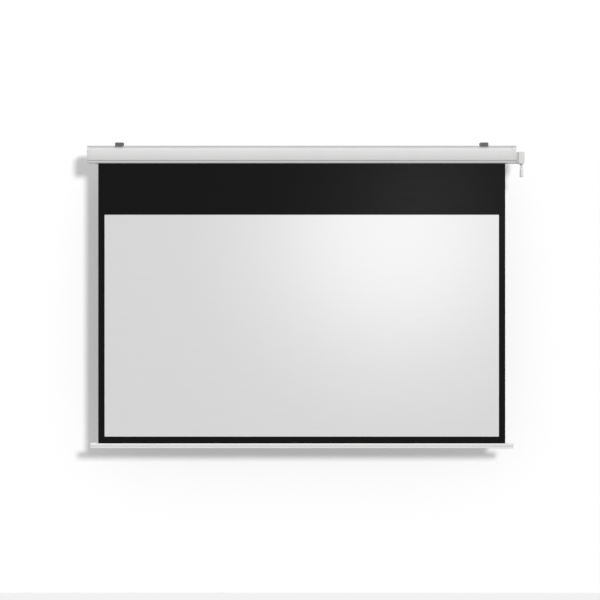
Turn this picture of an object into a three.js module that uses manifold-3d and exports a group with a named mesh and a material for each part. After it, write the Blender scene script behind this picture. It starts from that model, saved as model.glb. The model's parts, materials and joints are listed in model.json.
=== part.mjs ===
import * as THREE from 'three';
import { mergeVertices } from 'three/addons/utils/BufferGeometryUtils.js';
import Module from 'manifold-3d';

// A crank-operated pull-down projection screen in a slim aluminium case, screen lowered.
// Millimetres. X runs along the case, the viewer stands towards -Y, Z is up.
// The origin lies on the wall, level with the case top, half way along the case.
const wasm = await Module();
wasm.setup();

// Clearances shared by all pieces
const fitGap = 0.3;
const overrun = 2;

// Picture area and cloth
const pictureWidth = 1800;
const pictureHeightShare = 9 / 16;
const sideBorder = 29;
const bottomBorder = 29;
const topDrop = 234;
const clothThickness = 0.5;
const maskThickness = 0.2;

// Case profile
const caseMargin = 32.5;
const caseDepth = 76;
const caseHeight = 82;
const caseWall = 1.8;
const wallStandOff = 14;
const bandHeight = 11;
const bandSetback = 3;
const bulgeTopSetback = 2;
const bulgeFootSetback = 5;
const creaseRise = 15;
const creaseHeight = 3;
const creaseDepth = 3.5;
const rearRound = 3;
const lipRound = 5;
const slotWidth = 14;
const curlHeight = 3;

// Bracket rail along the rear top edge of the case, and the deeper one in the band at its front
const railWall = 3.6;
const railGrooveDrop = 4;
const railGrooveHeight = 3.4;
const railGrooveDepth = 1.8;
const bandRailWall = 5.8;
const bandGrooveDrop = 3.4;
const bandGrooveHeight = 4.4;
const bandGrooveDepth = 4;

// Screw ports inside the case profile
const portRadius = 4.3;
const portSink = 0.6;
const portSlit = 1.4;

// End caps and the steel plates behind them
const capWidth = 18.5;
const capFace = 3;
const capWall = 2.5;
const capRound = 4;
const capPostRadius = 5;
const capBossRadius = 14;
const slotTongueLength = 20;
const slotTongueHeight = 3;
const topTongueLength = 12;
const topTongueHeight = 2.4;
const plateThickness = 2.5;
const plateInset = 2.8;

// Screw heads narrow to this share of their radius at the crown
const screwCrownShare = 0.7;

// Case screws
const capScrewRadius = 2;
const capScrewHeadRadius = 3.8;
const capScrewHeadHeight = 2.4;
const capScrewSink = 3.2;
const capScrewGrip = 12;

// Roller
const rollRoom = 13;
const rollerWall = 1.5;
const rollerMargin = 11;
const rollerRise = 37;
const clothSetback = 1.9;
const channelRadius = 3;
const channelWall = 1.3;
const channelDepth = 4.4;
const channelSlit = 1.6;
const splineRadius = 2.4;
const wrapTurns = 1.5;
const plugLength = 40;
const plugFlangeRim = 1.5;
const plugFlangeThickness = 3;

// Idler pin at the left end
const pinRadius = 5;
const pinShankRadius = 6;
const pinShoulderRadius = 9;
const pinReach = 32;
const pinSeat = 14;

// Drive shaft and its bush at the right end
const shaftSquare = 10;
const shaftJournalRadius = 7.5;
const shaftReach = 34;
const shaftJournalInset = 4;
const shaftStubRadius = 4;
const shaftStubLength = 4.6;
const bushWall = 2.2;
const bushFlangeRadius = 13;
const bushFlangeThickness = 2;

// Worm and worm wheel
const gearModule = 1.75;
const wheelTeeth = 16;
const wormStarts = 2;
const wormPitchRadius = 6.5;
const wormLength = 26;
const wheelWidth = 12;
const wheelHubRadius = 9.5;
const wheelHubLength = 1.2;
const backlash = 0.4;
const addendumShare = 0.86;
const dedendumShare = 1.2;
const pressureAngle = THREE.MathUtils.degToRad(20);
const wormUpperRadius = 4;
const wormUpperLength = 2.4;
const wormShaftRadius = 5;

// Gear case on the right end cap, measured from the roller's axis and the worm's
const neckLength = 10;
const neckInset = 2;
const gearBodyWidth = 27;
const gearCrownRise = 17.6;
const gearFootFall = 39.5;
const gearRearReach = 20;
const gearCheek = 17;
const gearHeelFall = 18;
const gearRound = 5;
const gearCornerRound = 14;
const gearEdgeRound = 2;
const neckHoleRadius = 8.4;
const wheelClearance = 0.8;
const wormBushRadius = 8;
const wormBushFlangeRadius = 9.5;
const wormBushFlangeThickness = 3;
const wormBushTopFall = 25;
const wormBushFootFall = 46;

// Screws that hold the gear case to the end cap
const gearScrewRadius = 1.5;
const gearScrewHeadRadius = 2.8;
const gearScrewHeadHeight = 2;
const gearScrewSink = 2.4;
const gearScrewGrip = 10;
const gearScrewPostRadius = 4;
const gearScrewEdge = 4.6;
const gearScrewFrontRise = 10;
const gearScrewFootFall = 32;

// Universal joint and crank eye, the joint below the roller's axis and the eye below the joint
const crossFall = 54;
const crossHalf = 3;
const earHalfWidth = 2.6;
const earThickness = 2.2;
const trunnionRadius = 1.2;
const yokeRadius = 6.3;
const yokeThickness = 1.7;
const eyeTopFall = 6.2;
const eyeFootFall = 45;
const eyeTopRadius = 6.5;
const eyeWaistFall = 17;
const eyeBellRadius = 10.2;
const eyeBellFall = 35;
const eyeFootRadius = 8;
const eyeHoleWidth = 11;
const eyeHoleHeight = 17;
const eyeHoleFall = 32;

// Weight bar at the foot of the cloth
const barDepth = 22;
const barHeight = 24.4;
const barMargin = 10;
const barWall = 1.6;
const barCapLength = 29;
const barCapRound = 8;
const barCreaseDrop = 15;
const barCreaseHeight = 1.6;
const barCreaseDepth = 1;
const barFrontSetback = 1.6;
const barRound = 2.4;
const barSlotWidth = 2.4;
const barChannelRadius = 3.6;
const barChannelDrop = 9.6;
const barTongueLength = 14;
const hemRodRadius = 2.1;
const hemGap = 0.3;

// Wall and ceiling brackets
const bracketInset = 128.5;
const bracketWidth = 37;
const bracketRise = 14;
const bracketPlate = 3;
const bracketWallDrop = 48;
const bracketTab = 2.8;
const bracketLugFoot = 1;
const bracketLugSetback = 1;
const bracketSlotWidth = 6;
const bracketSlotLength = 12;
const bracketSlotRound = 3;
const wallSlotDrop = 18;
const wallSlotPitch = 18;
const ceilingSlotDepth = 14;
const ceilingSlotPitch = 36;
const jawDrop = 9.5;
const jawTab = 3.6;
const jawReach = 1.5;
const jawPlate = 3;
const jawRound = 3;
const jawBossRadius = 5;
const jawScrewRise = 6.3;
const jawScrewRadius = 2.5;
const jawScrewHeadRadius = 4.6;
const jawScrewHeadHeight = 2.8;
const jawScrewLength = 15;
const nutWidth = 8;
const nutThickness = 4;

// Facet counts
const drumSides = 40;
const rodSides = 20;
const screwSides = 12;
const curveSteps = 6;
const wrapStepsPerTurn = 32;
const wormStepsPerTurn = 18;
const wheelLevels = 4;
const arcSteps = 2;

// Sizes worked out from the ones above
const clothWidth = pictureWidth + 2 * sideBorder;
const pictureHeight = pictureWidth * pictureHeightShare;
const caseLength = clothWidth + 2 * caseMargin;
const caseHalf = caseLength / 2;
const caseEnd = caseHalf + capWidth;
const bandFront = caseDepth - bandSetback;
const bulgeTop = caseDepth - bulgeTopSetback;
const bulgeFoot = caseDepth - bulgeFootSetback;
const creaseDrop = caseHeight - creaseRise;
const slotFront = bulgeFoot - creaseDepth - caseWall;
const slotRear = slotFront - slotWidth;
const rollerRadius = caseDepth / 2 - rollRoom;
const rollerLength = clothWidth + 2 * rollerMargin;
const wrapPitch = clothThickness + fitGap;
const wrapInnerRadius = rollerRadius + fitGap;
const wrapOuterRadius = wrapInnerRadius + wrapTurns * wrapPitch + clothThickness;
const clothFront = slotFront - clothSetback;
const clothRear = clothFront - clothThickness;
const rollerDepth = clothRear - fitGap - wrapOuterRadius;
const rollerDrop = caseHeight - rollerRise;
const barTopDrop = caseHeight + topDrop + pictureHeight + bottomBorder;
const barCentre = (clothRear + clothFront) / 2;
const barProfileLength = clothWidth + 2 * barMargin;
const gearX = caseEnd + neckLength + gearBodyWidth / 2;
const wheelPitchRadius = gearModule * wheelTeeth / 2;
const wormDepth = rollerDepth + wheelPitchRadius + wormPitchRadius;
const addendum = gearModule * addendumShare;
const dedendum = gearModule * dedendumShare;
const axialPitch = Math.PI * gearModule;
const toothHalf = axialPitch / 4 - backlash / 2;
const wormLead = wormStarts * axialPitch;
const leadSlope = wormLead / (2 * Math.PI * wormPitchRadius);
const gearTopDrop = rollerDrop - gearCrownRise;
const gearHeelDrop = rollerDrop + gearHeelFall;
const gearBottomDrop = rollerDrop + gearFootFall;
const gearRearDepth = rollerDepth - gearRearReach;
const gearFootDepth = wormDepth - gearCheek;
const gearFrontDepth = wormDepth + gearCheek;
const wormBushTopDrop = rollerDrop + wormBushTopFall;
const crossDrop = rollerDrop + crossFall;
const crossYokeReach = crossFall - wormBushFootFall - fitGap;
const plugBarrelRadius = rollerRadius - rollerWall - fitGap;
const plugFlangeRadius = rollerRadius + plugFlangeRim;
const bracketPlace = caseHalf - bracketInset;
const lugFront = bandFront - bracketLugSetback;

// Screw places, as depth in front of the case's rear face and drop below its top
const capScrewPlaces = [
  { name: 'top_rear', depth: railWall + portRadius - portSink, drop: caseWall + portRadius - portSink },
  { name: 'bottom_rear', depth: caseWall + portRadius - portSink,
    drop: caseHeight - caseWall - portRadius + portSink },
  { name: 'top_front', depth: bandFront - bandRailWall - portRadius + portSink,
    drop: caseWall + portRadius - portSink },
];
const gearScrewPlaces = [
  { depth: gearRearDepth + gearScrewEdge, drop: gearTopDrop + gearScrewEdge },
  { depth: gearRearDepth + gearScrewEdge, drop: gearHeelDrop - gearScrewEdge },
  { depth: gearFrontDepth - gearScrewEdge, drop: rollerDrop - gearScrewFrontRise },
  { depth: gearFootDepth + gearScrewEdge, drop: rollerDrop + gearScrewFootFall },
];

// Finishes
const caseWhite = { color: 0xe9e9e7, roughness: 0.42, metalness: 0.0 };
const plasticWhite = { color: 0xe4e4e2, roughness: 0.5, metalness: 0.0 };
const gearGrey = { color: 0xd9d9d7, roughness: 0.5, metalness: 0.0 };
const steelDark = { color: 0x4a4b4d, roughness: 0.5, metalness: 0.7 };
const steelBright = { color: 0xb4b6b8, roughness: 0.35, metalness: 0.9 };
const aluminium = { color: 0xc3c5c7, roughness: 0.4, metalness: 0.9 };
const bronze = { color: 0xa9803f, roughness: 0.45, metalness: 0.8 };
const nylonBlack = { color: 0x242426, roughness: 0.6, metalness: 0.0 };
const screenWhite = { color: 0xf2f2f0, roughness: 0.9, metalness: 0.0 };
const maskBlack = { color: 0x121212, roughness: 0.85, metalness: 0.0 };

// Geometry with merged corners, no slivers of zero area, and its faces pointing out
function closed(geometry) {
  const bare = geometry.clone();
  bare.deleteAttribute('normal');
  bare.deleteAttribute('uv');
  const merged = mergeVertices(bare);
  const place = merged.attributes.position;
  const corner = (i) => new THREE.Vector3().fromBufferAttribute(place, i);
  const kept = [];
  let volume = 0;
  for (let i = 0; i < merged.index.count; i += 3) {
    const [a, b, c] = [0, 1, 2].map((step) => merged.index.getX(i + step));
    if (a === b || b === c || c === a) continue;
    kept.push([a, b, c]);
    volume += corner(a).dot(corner(b).cross(corner(c)));
  }
  const turned = volume < 0 ? kept.map(([a, b, c]) => [a, c, b]) : kept;
  const result = new THREE.BufferGeometry();
  result.setAttribute('position', place);
  result.setIndex(turned.flat());
  return result;
}

function toSolid(geometry) {
  const ready = closed(geometry);
  return new wasm.Manifold(new wasm.Mesh({
    numProp: 3,
    vertProperties: new Float32Array(ready.attributes.position.array),
    triVerts: new Uint32Array(ready.index.array),
  }));
}

function toGeometry(solid) {
  const mesh = solid.getMesh();
  const geometry = new THREE.BufferGeometry();
  geometry.setAttribute('position', new THREE.BufferAttribute(new Float32Array(mesh.vertProperties), 3));
  geometry.setIndex(new THREE.BufferAttribute(new Uint32Array(mesh.triVerts), 1));
  return geometry;
}

function joined(first, ...others) {
  return toGeometry(others.reduce((solid, other) => solid.add(toSolid(other)), toSolid(first)));
}

function cut(first, ...tools) {
  return toGeometry(tools.reduce((solid, tool) => solid.subtract(toSolid(tool)), toSolid(first)));
}

function common(first, ...others) {
  return toGeometry(others.reduce((solid, other) => solid.intersect(toSolid(other)), toSolid(first)));
}

// Turns a shape's own axes (first, second, depth) to (Y, Z, X) and to (Z, X, Y)
const toX = new THREE.Matrix4().set(0, 0, 1, 0, 1, 0, 0, 0, 0, 1, 0, 0, 0, 0, 0, 1);
const toY = new THREE.Matrix4().set(0, 1, 0, 0, 0, 0, 1, 0, 1, 0, 0, 0, 0, 0, 0, 1);

// A section drawn as (X, Y) and drawn out along Z from 0
function alongZ(shape, length, curveSegments = curveSteps) {
  return new THREE.ExtrudeGeometry(shape, { depth: length, bevelEnabled: false, curveSegments });
}

// A section drawn as (Y, Z) and drawn out along X from 0
function alongX(shape, length, curveSegments = curveSteps) {
  return alongZ(shape, length, curveSegments).applyMatrix4(toX);
}

// A section drawn as (Z, X) and drawn out along Y from 0
function alongY(shape, length) {
  return alongZ(shape, length).applyMatrix4(toY);
}

// An outline through corners given as [first, second, rounding]
function outline(corners) {
  const shape = new THREE.Shape();
  corners.forEach(([a, b, round = 0], i) => {
    const here = new THREE.Vector2(a, b);
    const towards = (other) => here.clone().add(
      new THREE.Vector2(other[0], other[1]).sub(here).setLength(round));
    const from = towards(corners[(i + corners.length - 1) % corners.length]);
    const to = towards(corners[(i + 1) % corners.length]);
    if (i === 0) shape.moveTo(from.x, from.y);
    else shape.lineTo(from.x, from.y);
    if (round > 0) shape.quadraticCurveTo(a, b, to.x, to.y);
  });
  shape.closePath();
  return shape;
}

function block([x0, x1], [y0, y1], [z0, z1]) {
  return new THREE.BoxGeometry(x1 - x0, y1 - y0, z1 - z0)
    .translate((x0 + x1) / 2, (y0 + y1) / 2, (z0 + z1) / 2);
}

function rodX(radius, length, sides = rodSides) {
  return new THREE.CylinderGeometry(radius, radius, length, sides)
    .rotateZ(-Math.PI / 2).translate(length / 2, 0, 0);
}

function rodY(radius, length, sides = rodSides) {
  return new THREE.CylinderGeometry(radius, radius, length, sides).translate(0, length / 2, 0);
}

function rodZ(radius, length, sides = rodSides) {
  return new THREE.CylinderGeometry(radius, radius, length, sides)
    .rotateX(Math.PI / 2).translate(0, 0, length / 2);
}

// A turned piece from [radius, height] pairs, its axis along Y
function turned(profile, sides = rodSides) {
  return new THREE.LatheGeometry(profile.map(([r, h]) => new THREE.Vector2(r, h)), sides);
}

// A pan-head screw with its head towards +Y and its shank below 0
function screw(radius, length, headRadius, headHeight) {
  return turned([
    [0, -length], [radius, -length], [radius, 0], [headRadius, 0],
    [headRadius, headHeight / 2], [headRadius * screwCrownShare, headHeight], [0, headHeight],
  ], screwSides);
}

// Rings of points at rising heights, skinned and capped
function loft(rings) {
  const sides = rings[0].length;
  const corners = rings.flat();
  const faces = [];
  for (let ring = 0; ring < rings.length - 1; ring += 1) {
    for (let side = 0; side < sides; side += 1) {
      const here = ring * sides + side;
      const next = ring * sides + (side + 1) % sides;
      faces.push(here, next, next + sides, here, next + sides, here + sides);
    }
  }
  const lid = (ring, flip) => THREE.ShapeUtils.triangulateShape(
    rings[ring].map((p) => new THREE.Vector2(p.x, p.y)), [])
    .forEach((face) => faces.push(...(flip ? face.reverse() : face).map((i) => i + ring * sides)));
  lid(0, true);
  lid(rings.length - 1, false);
  const geometry = new THREE.BufferGeometry().setFromPoints(corners);
  geometry.setIndex(faces);
  return geometry;
}

// Case profile
function caseFrontCurve(shape) {
  const control = 2 * caseDepth - (bulgeTop + bulgeFoot) / 2;
  shape.quadraticCurveTo(-control, -(bandHeight + creaseDrop) / 2, -bulgeFoot, -creaseDrop);
}

function caseShape() {
  const shape = new THREE.Shape();
  shape.moveTo(0, -rearRound);
  shape.quadraticCurveTo(0, 0, -rearRound, 0);
  shape.lineTo(-bandFront, 0);
  shape.lineTo(-bandFront, -bandHeight);
  shape.lineTo(-bulgeTop, -bandHeight);
  caseFrontCurve(shape);
  shape.lineTo(-(bulgeFoot - creaseDepth), -creaseDrop);
  shape.lineTo(-(bulgeFoot - creaseDepth), -(creaseDrop + creaseHeight));
  shape.lineTo(-bulgeFoot, -(creaseDrop + creaseHeight));
  shape.lineTo(-bulgeFoot, -(caseHeight - lipRound));
  shape.quadraticCurveTo(-bulgeFoot, -caseHeight, -(bulgeFoot - lipRound), -caseHeight);
  shape.lineTo(-rearRound, -caseHeight);
  shape.quadraticCurveTo(0, -caseHeight, 0, -(caseHeight - rearRound));
  shape.closePath();
  return shape;
}

function caseHollowShape() {
  const shape = new THREE.Shape();
  const top = -(bandHeight + caseWall);
  const control = 2 * caseDepth - (bulgeTop + bulgeFoot) / 2 - caseWall;
  shape.moveTo(-caseWall, top);
  shape.lineTo(-railWall, -bandHeight);
  shape.lineTo(-railWall, -caseWall);
  shape.lineTo(-(bandFront - bandRailWall), -caseWall);
  shape.lineTo(-(bandFront - bandRailWall), -bandHeight);
  shape.lineTo(-(bulgeTop - caseWall), top);
  shape.quadraticCurveTo(-control, -(bandHeight + creaseDrop) / 2, -slotFront, -creaseDrop);
  shape.lineTo(-slotFront, -(caseHeight - caseWall));
  shape.lineTo(-caseWall, -(caseHeight - caseWall));
  shape.closePath();
  return shape;
}

function caseProfile() {
  const from = -caseHalf;
  const full = [from - overrun, caseHalf + overrun];
  const rearGroove = [-(railGrooveDrop + railGrooveHeight), -railGrooveDrop];
  const bandGroove = [-(bandGrooveDrop + bandGrooveHeight), -bandGrooveDrop];
  const shell = cut(
    alongX(caseShape(), caseLength).translate(from, 0, 0),
    alongX(caseHollowShape(), caseLength + 2 * overrun).translate(from - overrun, 0, 0),
    block(full, [-slotFront, -slotRear], [-(caseHeight + overrun), -(caseHeight - caseWall - overrun)]),
    block(full, [-(bandFront + overrun), -(bandFront - bandGrooveDepth)], bandGroove),
    block(full, [-railGrooveDepth, overrun], rearGroove),
  );
  const curl = block([from, caseHalf], [-slotRear, -(slotRear - caseWall)],
    [-(caseHeight - caseWall / 2), -(caseHeight - caseWall - curlHeight)]);
  const ports = capScrewPlaces.map(({ depth, drop }) =>
    rodX(portRadius, caseLength, screwSides).translate(from, -depth, -drop));
  const trimmedPorts = common(joined(...ports), alongX(caseShape(), caseLength).translate(from, 0, 0));
  const bores = capScrewPlaces.map(({ depth, drop }) =>
    rodX(capScrewRadius + fitGap, caseLength + 2 * overrun, screwSides)
      .translate(from - overrun, -depth, -drop));
  const slits = capScrewPlaces.map(({ depth, drop }) => {
    const reach = portRadius + overrun;
    const inwards = drop < caseHeight / 2 ? [-(drop + reach), -drop] : [-drop, reach - drop];
    return block(full, [-depth - portSlit / 2, -depth + portSlit / 2], inwards);
  });
  return cut(joined(shell, curl, trimmedPorts), ...bores, ...slits);
}

// End cap with its inner face at x = 0 and its outer face at capWidth
function endCapBody() {
  const softPlan = outline([
    [-overrun, 0, 0], [capWidth, 0, capRound],
    [capWidth, -caseDepth, capRound], [-overrun, -caseDepth, 0],
  ]);
  const softSide = outline([
    [0, -overrun, 0], [0, capWidth, capRound],
    [-caseHeight, capWidth, capRound], [-caseHeight, -overrun, 0],
  ]);
  const rim = common(
    alongX(caseShape(), capWidth),
    alongZ(softPlan, caseHeight).translate(0, 0, -caseHeight),
    alongY(softSide, caseDepth).translate(0, -caseDepth, 0),
  );
  const pocket = outline([
    [-capWall, -capWall, rearRound], [-(bandFront - capWall), -capWall, rearRound],
    [-(bulgeFoot - creaseDepth - capWall), -(caseHeight - capWall), rearRound],
    [-capWall, -(caseHeight - capWall), rearRound],
  ]);
  return cut(rim, alongX(pocket, capWidth - capFace + overrun).translate(-overrun, 0, 0));
}

// The clear stretch of the top wall between the two upper screw ports, as rear and front depths
function topTongueSpan() {
  const places = capScrewPlaces.filter(({ drop }) => drop < caseHeight / 2).map(({ depth }) => depth);
  return [Math.min(...places) + portRadius + fitGap, Math.max(...places) - portRadius - fitGap];
}

function capTongues() {
  const [rear, front] = topTongueSpan();
  const topFoot = -(caseWall + fitGap + topTongueHeight);
  return [
    block([-slotTongueLength, capWall], [-(slotFront - fitGap), -(slotRear + fitGap)],
      [-caseHeight, -(caseHeight - slotTongueHeight)]),
    block([-topTongueLength, capWall], [-front, -rear], [topFoot, -(caseWall + fitGap)]),
    block([0, capWall], [-front, -rear], [topFoot, -caseWall / 2]),
  ];
}

function endCap(isDriveEnd) {
  const posts = capScrewPlaces.map(({ depth, drop }) =>
    rodX(capPostRadius, capWidth - plateThickness - capScrewSink, screwSides)
      .translate(plateThickness, -depth, -drop));
  const boss = rodX(capBossRadius, capWidth - plateThickness - capFace / 2, drumSides)
    .translate(plateThickness, -rollerDepth, -rollerDrop);
  const gearPosts = isDriveEnd ? gearScrewPlaces.map(({ depth, drop }) =>
    rodX(gearScrewPostRadius, gearScrewGrip + fitGap + capFace / 2, screwSides)
      .translate(capWidth - gearScrewGrip - fitGap - capFace, -depth, -drop)) : [];
  const whole = common(
    joined(endCapBody(), ...posts, boss, ...gearPosts),
    alongX(caseShape(), capWidth),
  );
  const bores = capScrewPlaces.flatMap(({ depth, drop }) => [
    rodX(capScrewRadius + fitGap, capWidth + 2 * overrun, screwSides).translate(-overrun, -depth, -drop),
    rodX(capScrewHeadRadius + fitGap, capScrewSink + overrun, screwSides)
      .translate(capWidth - capScrewSink, -depth, -drop),
  ]);
  const axisBore = isDriveEnd
    ? rodX(shaftJournalRadius + fitGap + bushWall + fitGap, capWidth + 2 * overrun)
    : rodX(pinShankRadius + fitGap, pinSeat + overrun);
  const gearBores = isDriveEnd ? gearScrewPlaces.map(({ depth, drop }) =>
    rodX(gearScrewRadius + fitGap, gearScrewGrip + overrun, screwSides)
      .translate(capWidth - gearScrewGrip, -depth, -drop)) : [];
  const drilled = cut(whole, ...bores, ...gearBores,
    axisBore.translate(-overrun, -rollerDepth, -rollerDrop));
  return joined(drilled, ...capTongues());
}

function bearingPlate(axisHoleRadius) {
  const inner = plateInset + fitGap;
  const edge = outline([
    [-inner, -inner, rearRound], [-(bandFront - inner), -inner, rearRound],
    [-(bulgeFoot - creaseDepth - inner), -(creaseDrop - inner), rearRound],
    [-(slotRear - inner), -(caseHeight - inner), rearRound], [-inner, -(caseHeight - inner), rearRound],
  ]);
  const tongueRoom = block([-overrun, plateThickness + overrun],
    [-caseDepth, -(slotRear - fitGap - caseWall)],
    [-caseHeight, -(caseHeight - slotTongueHeight - fitGap)]);
  const holes = capScrewPlaces.map(({ depth, drop }) =>
    rodX(capScrewRadius + fitGap, plateThickness + 2 * overrun, screwSides)
      .translate(-overrun, -depth, -drop));
  const [rear, front] = topTongueSpan();
  const topRoom = block([-overrun, plateThickness + overrun], [-(front + fitGap), -(rear - fitGap)],
    [-(caseWall + topTongueHeight + 2 * fitGap), 0]);
  return cut(alongX(edge, plateThickness), tongueRoom, topRoom, ...holes,
    rodX(axisHoleRadius, plateThickness + 2 * overrun).translate(-overrun, -rollerDepth, -rollerDrop));
}

// Roller pieces, all on the axis of X through 0
function channelPlace(geometry) {
  return geometry.translate(0, rollerRadius - channelDepth, 0);
}

function rollerTube() {
  const ring = new THREE.Shape().absarc(0, 0, rollerRadius, 0, 2 * Math.PI);
  ring.holes.push(new THREE.Path().absarc(0, 0, rollerRadius - rollerWall, 0, 2 * Math.PI));
  const tube = alongX(ring, rollerLength, drumSides / 2);
  const lining = channelPlace(rodX(channelRadius + channelWall, rollerLength, screwSides));
  const bore = channelPlace(rodX(channelRadius, rollerLength + 2 * overrun, screwSides))
    .translate(-overrun, 0, 0);
  const slit = block([-overrun, rollerLength + overrun],
    [rollerRadius - channelDepth, rollerRadius + overrun], [-channelSlit / 2, channelSlit / 2]);
  return cut(joined(tube, lining), bore, slit).translate(-rollerLength / 2, 0, 0);
}

// An end plug with its flange's outer face at x = 0 and its barrel towards -X
function rollerPlug(bore) {
  const barrel = rodX(plugBarrelRadius, plugLength, drumSides)
    .translate(-plugFlangeThickness - plugLength, 0, 0);
  const flange = rodX(plugFlangeRadius, plugFlangeThickness, drumSides)
    .translate(-plugFlangeThickness, 0, 0);
  const roomRadius = channelRadius + channelWall + fitGap;
  const channelRoom = channelPlace(rodX(roomRadius, plugLength + overrun, screwSides))
    .translate(-plugFlangeThickness - plugLength - overrun, 0, 0);
  return cut(joined(barrel, flange), channelRoom, bore);
}

function fabricWrap() {
  const steps = Math.round(wrapTurns * wrapStepsPerTurn);
  const points = [];
  const at = (step, extra) => {
    const angle = Math.PI - 2 * Math.PI * wrapTurns * (1 - step / steps);
    const radius = wrapInnerRadius + wrapPitch * wrapTurns * step / steps + extra;
    return new THREE.Vector2(radius * Math.cos(angle), radius * Math.sin(angle));
  };
  for (let step = 0; step <= steps; step += 1) points.push(at(step, clothThickness));
  for (let step = steps; step >= 0; step -= 1) points.push(at(step, 0));
  return alongX(new THREE.Shape(points), clothWidth).translate(-clothWidth / 2, 0, 0);
}

function idlerPin() {
  const shoulder = caseHalf - rollerLength / 2 - plugFlangeThickness - 2 * fitGap;
  return turned([
    [0, -pinSeat + fitGap], [pinShankRadius, -pinSeat + fitGap], [pinShankRadius, fitGap],
    [pinShoulderRadius, fitGap], [pinShoulderRadius, fitGap + shoulder], [pinRadius, fitGap + shoulder],
    [pinRadius, fitGap + shoulder + pinReach], [0, fitGap + shoulder + pinReach],
  ]).rotateZ(-Math.PI / 2);
}

// Drive shaft measured along X from the middle of the case
function driveShaft() {
  const squareFrom = rollerLength / 2 + plugFlangeThickness - shaftReach;
  const squareTo = gearX + wheelWidth / 2;
  const half = shaftSquare / 2;
  const journalFrom = rollerLength / 2 + plugFlangeThickness + shaftJournalInset;
  const journalTo = gearX - wheelWidth / 2 - wheelHubLength - fitGap;
  return joined(
    block([squareFrom, squareTo], [-half, half], [-half, half]),
    rodX(shaftJournalRadius, journalTo - journalFrom).translate(journalFrom, 0, 0),
    rodX(shaftStubRadius, shaftStubLength + overrun).translate(squareTo - overrun, 0, 0),
  );
}

// Flanged bush with its flange against x = 0 on the inside of the case
function shaftBush() {
  const inner = shaftJournalRadius + fitGap;
  return turned([
    [inner, -bushFlangeThickness - fitGap], [bushFlangeRadius, -bushFlangeThickness - fitGap],
    [bushFlangeRadius, -fitGap], [inner + bushWall, -fitGap], [inner + bushWall, capWidth],
    [inner, capWidth], [inner, -bushFlangeThickness - fitGap],
  ]).rotateZ(-Math.PI / 2);
}

// Involute teeth of the worm wheel, leaning to follow the worm's thread
function involute(angle) {
  return Math.tan(angle) - angle;
}

function wheelRing(height) {
  const base = wheelPitchRadius * Math.cos(pressureAngle);
  const lean = height * leadSlope / wheelPitchRadius;
  const halfAt = (radius) => toothHalf / wheelPitchRadius + involute(pressureAngle)
    - involute(Math.acos(Math.min(1, base / radius)));
  const radii = [wheelPitchRadius - dedendum, base, wheelPitchRadius, wheelPitchRadius + addendum];
  const points = [];
  for (let tooth = 0; tooth < wheelTeeth; tooth += 1) {
    const middle = Math.PI + lean + 2 * Math.PI * tooth / wheelTeeth;
    radii.forEach((r) => points.push([r, middle - halfAt(r)]));
    [...radii].reverse().forEach((r) => points.push([r, middle + halfAt(r)]));
  }
  return points.map(([r, a]) => new THREE.Vector3(r * Math.cos(a), r * Math.sin(a), height));
}

function wormWheel() {
  const rings = [];
  for (let level = 0; level < wheelLevels; level += 1) {
    rings.push(wheelRing(wheelWidth * (level / (wheelLevels - 1) - 1 / 2)));
  }
  const toothed = loft(rings).applyMatrix4(toX);
  const hubEnd = wheelWidth / 2 + wheelHubLength;
  const hub = rodX(wheelHubRadius, wheelWidth / 2 + hubEnd).translate(-hubEnd, 0, 0);
  const half = shaftSquare / 2 + fitGap;
  return cut(joined(toothed, hub), block([-wheelWidth, wheelWidth], [-half, half], [-half, half]));
}

// Twin-start worm with its thread centred on z = 0, a gap facing the wheel at +Y
function wormRing(height) {
  const tip = toothHalf - addendum * Math.tan(pressureAngle);
  const root = toothHalf + dedendum * Math.tan(pressureAngle);
  const corners = [
    [-tip, addendum], [tip, addendum], [root, -dedendum], [axialPitch - root, -dedendum],
    [axialPitch - tip, addendum],
  ];
  const points = [];
  for (let start = 0; start < wormStarts; start += 1) {
    for (let corner = 0; corner < corners.length - 1; corner += 1) {
      for (let step = 0; step < arcSteps; step += 1) {
        const share = step / arcSteps;
        const axial = THREE.MathUtils.lerp(corners[corner][0], corners[corner + 1][0], share);
        const radial = THREE.MathUtils.lerp(corners[corner][1], corners[corner + 1][1], share);
        const along = height + axial + start * axialPitch + axialPitch / 2;
        const angle = Math.PI / 2 + 2 * Math.PI * along / wormLead;
        const radius = wormPitchRadius + radial;
        points.push(new THREE.Vector3(radius * Math.cos(angle), radius * Math.sin(angle), height));
      }
    }
  }
  return points;
}

function wormShaft() {
  const turns = wormLength / wormLead;
  const levels = Math.round(turns * wormStepsPerTurn);
  const rings = [];
  for (let level = 0; level <= levels; level += 1) {
    rings.push(wormRing(wormLength * (level / levels - 1 / 2)));
  }
  const shaftFoot = crossFall - crossYokeReach;
  return joined(
    loft(rings),
    rodZ(wormUpperRadius, wormUpperLength + overrun).translate(0, 0, wormLength / 2 - overrun),
    rodZ(wormShaftRadius, shaftFoot - wormLength / 2 + overrun).translate(0, 0, -shaftFoot),
    upperYoke().translate(0, 0, -crossFall),
  );
}

// Two ears round the origin, pierced along Y, with a base disc above them
function upperYoke() {
  const baseTop = crossYokeReach;
  const inner = crossHalf + fitGap;
  const ears = [-1, 1].map((side) => {
    const near = side < 0 ? -inner - earThickness : inner;
    return joined(
      rodY(earHalfWidth, earThickness).translate(0, near, 0),
      block([-earHalfWidth, earHalfWidth], [near, near + earThickness], [0, baseTop - yokeThickness / 2]),
    );
  });
  const base = rodZ(yokeRadius, yokeThickness).translate(0, 0, baseTop - yokeThickness);
  const bore = rodY(trunnionRadius + fitGap, 2 * yokeRadius, screwSides).translate(0, -yokeRadius, 0);
  return cut(joined(base, ...ears), bore);
}

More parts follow.
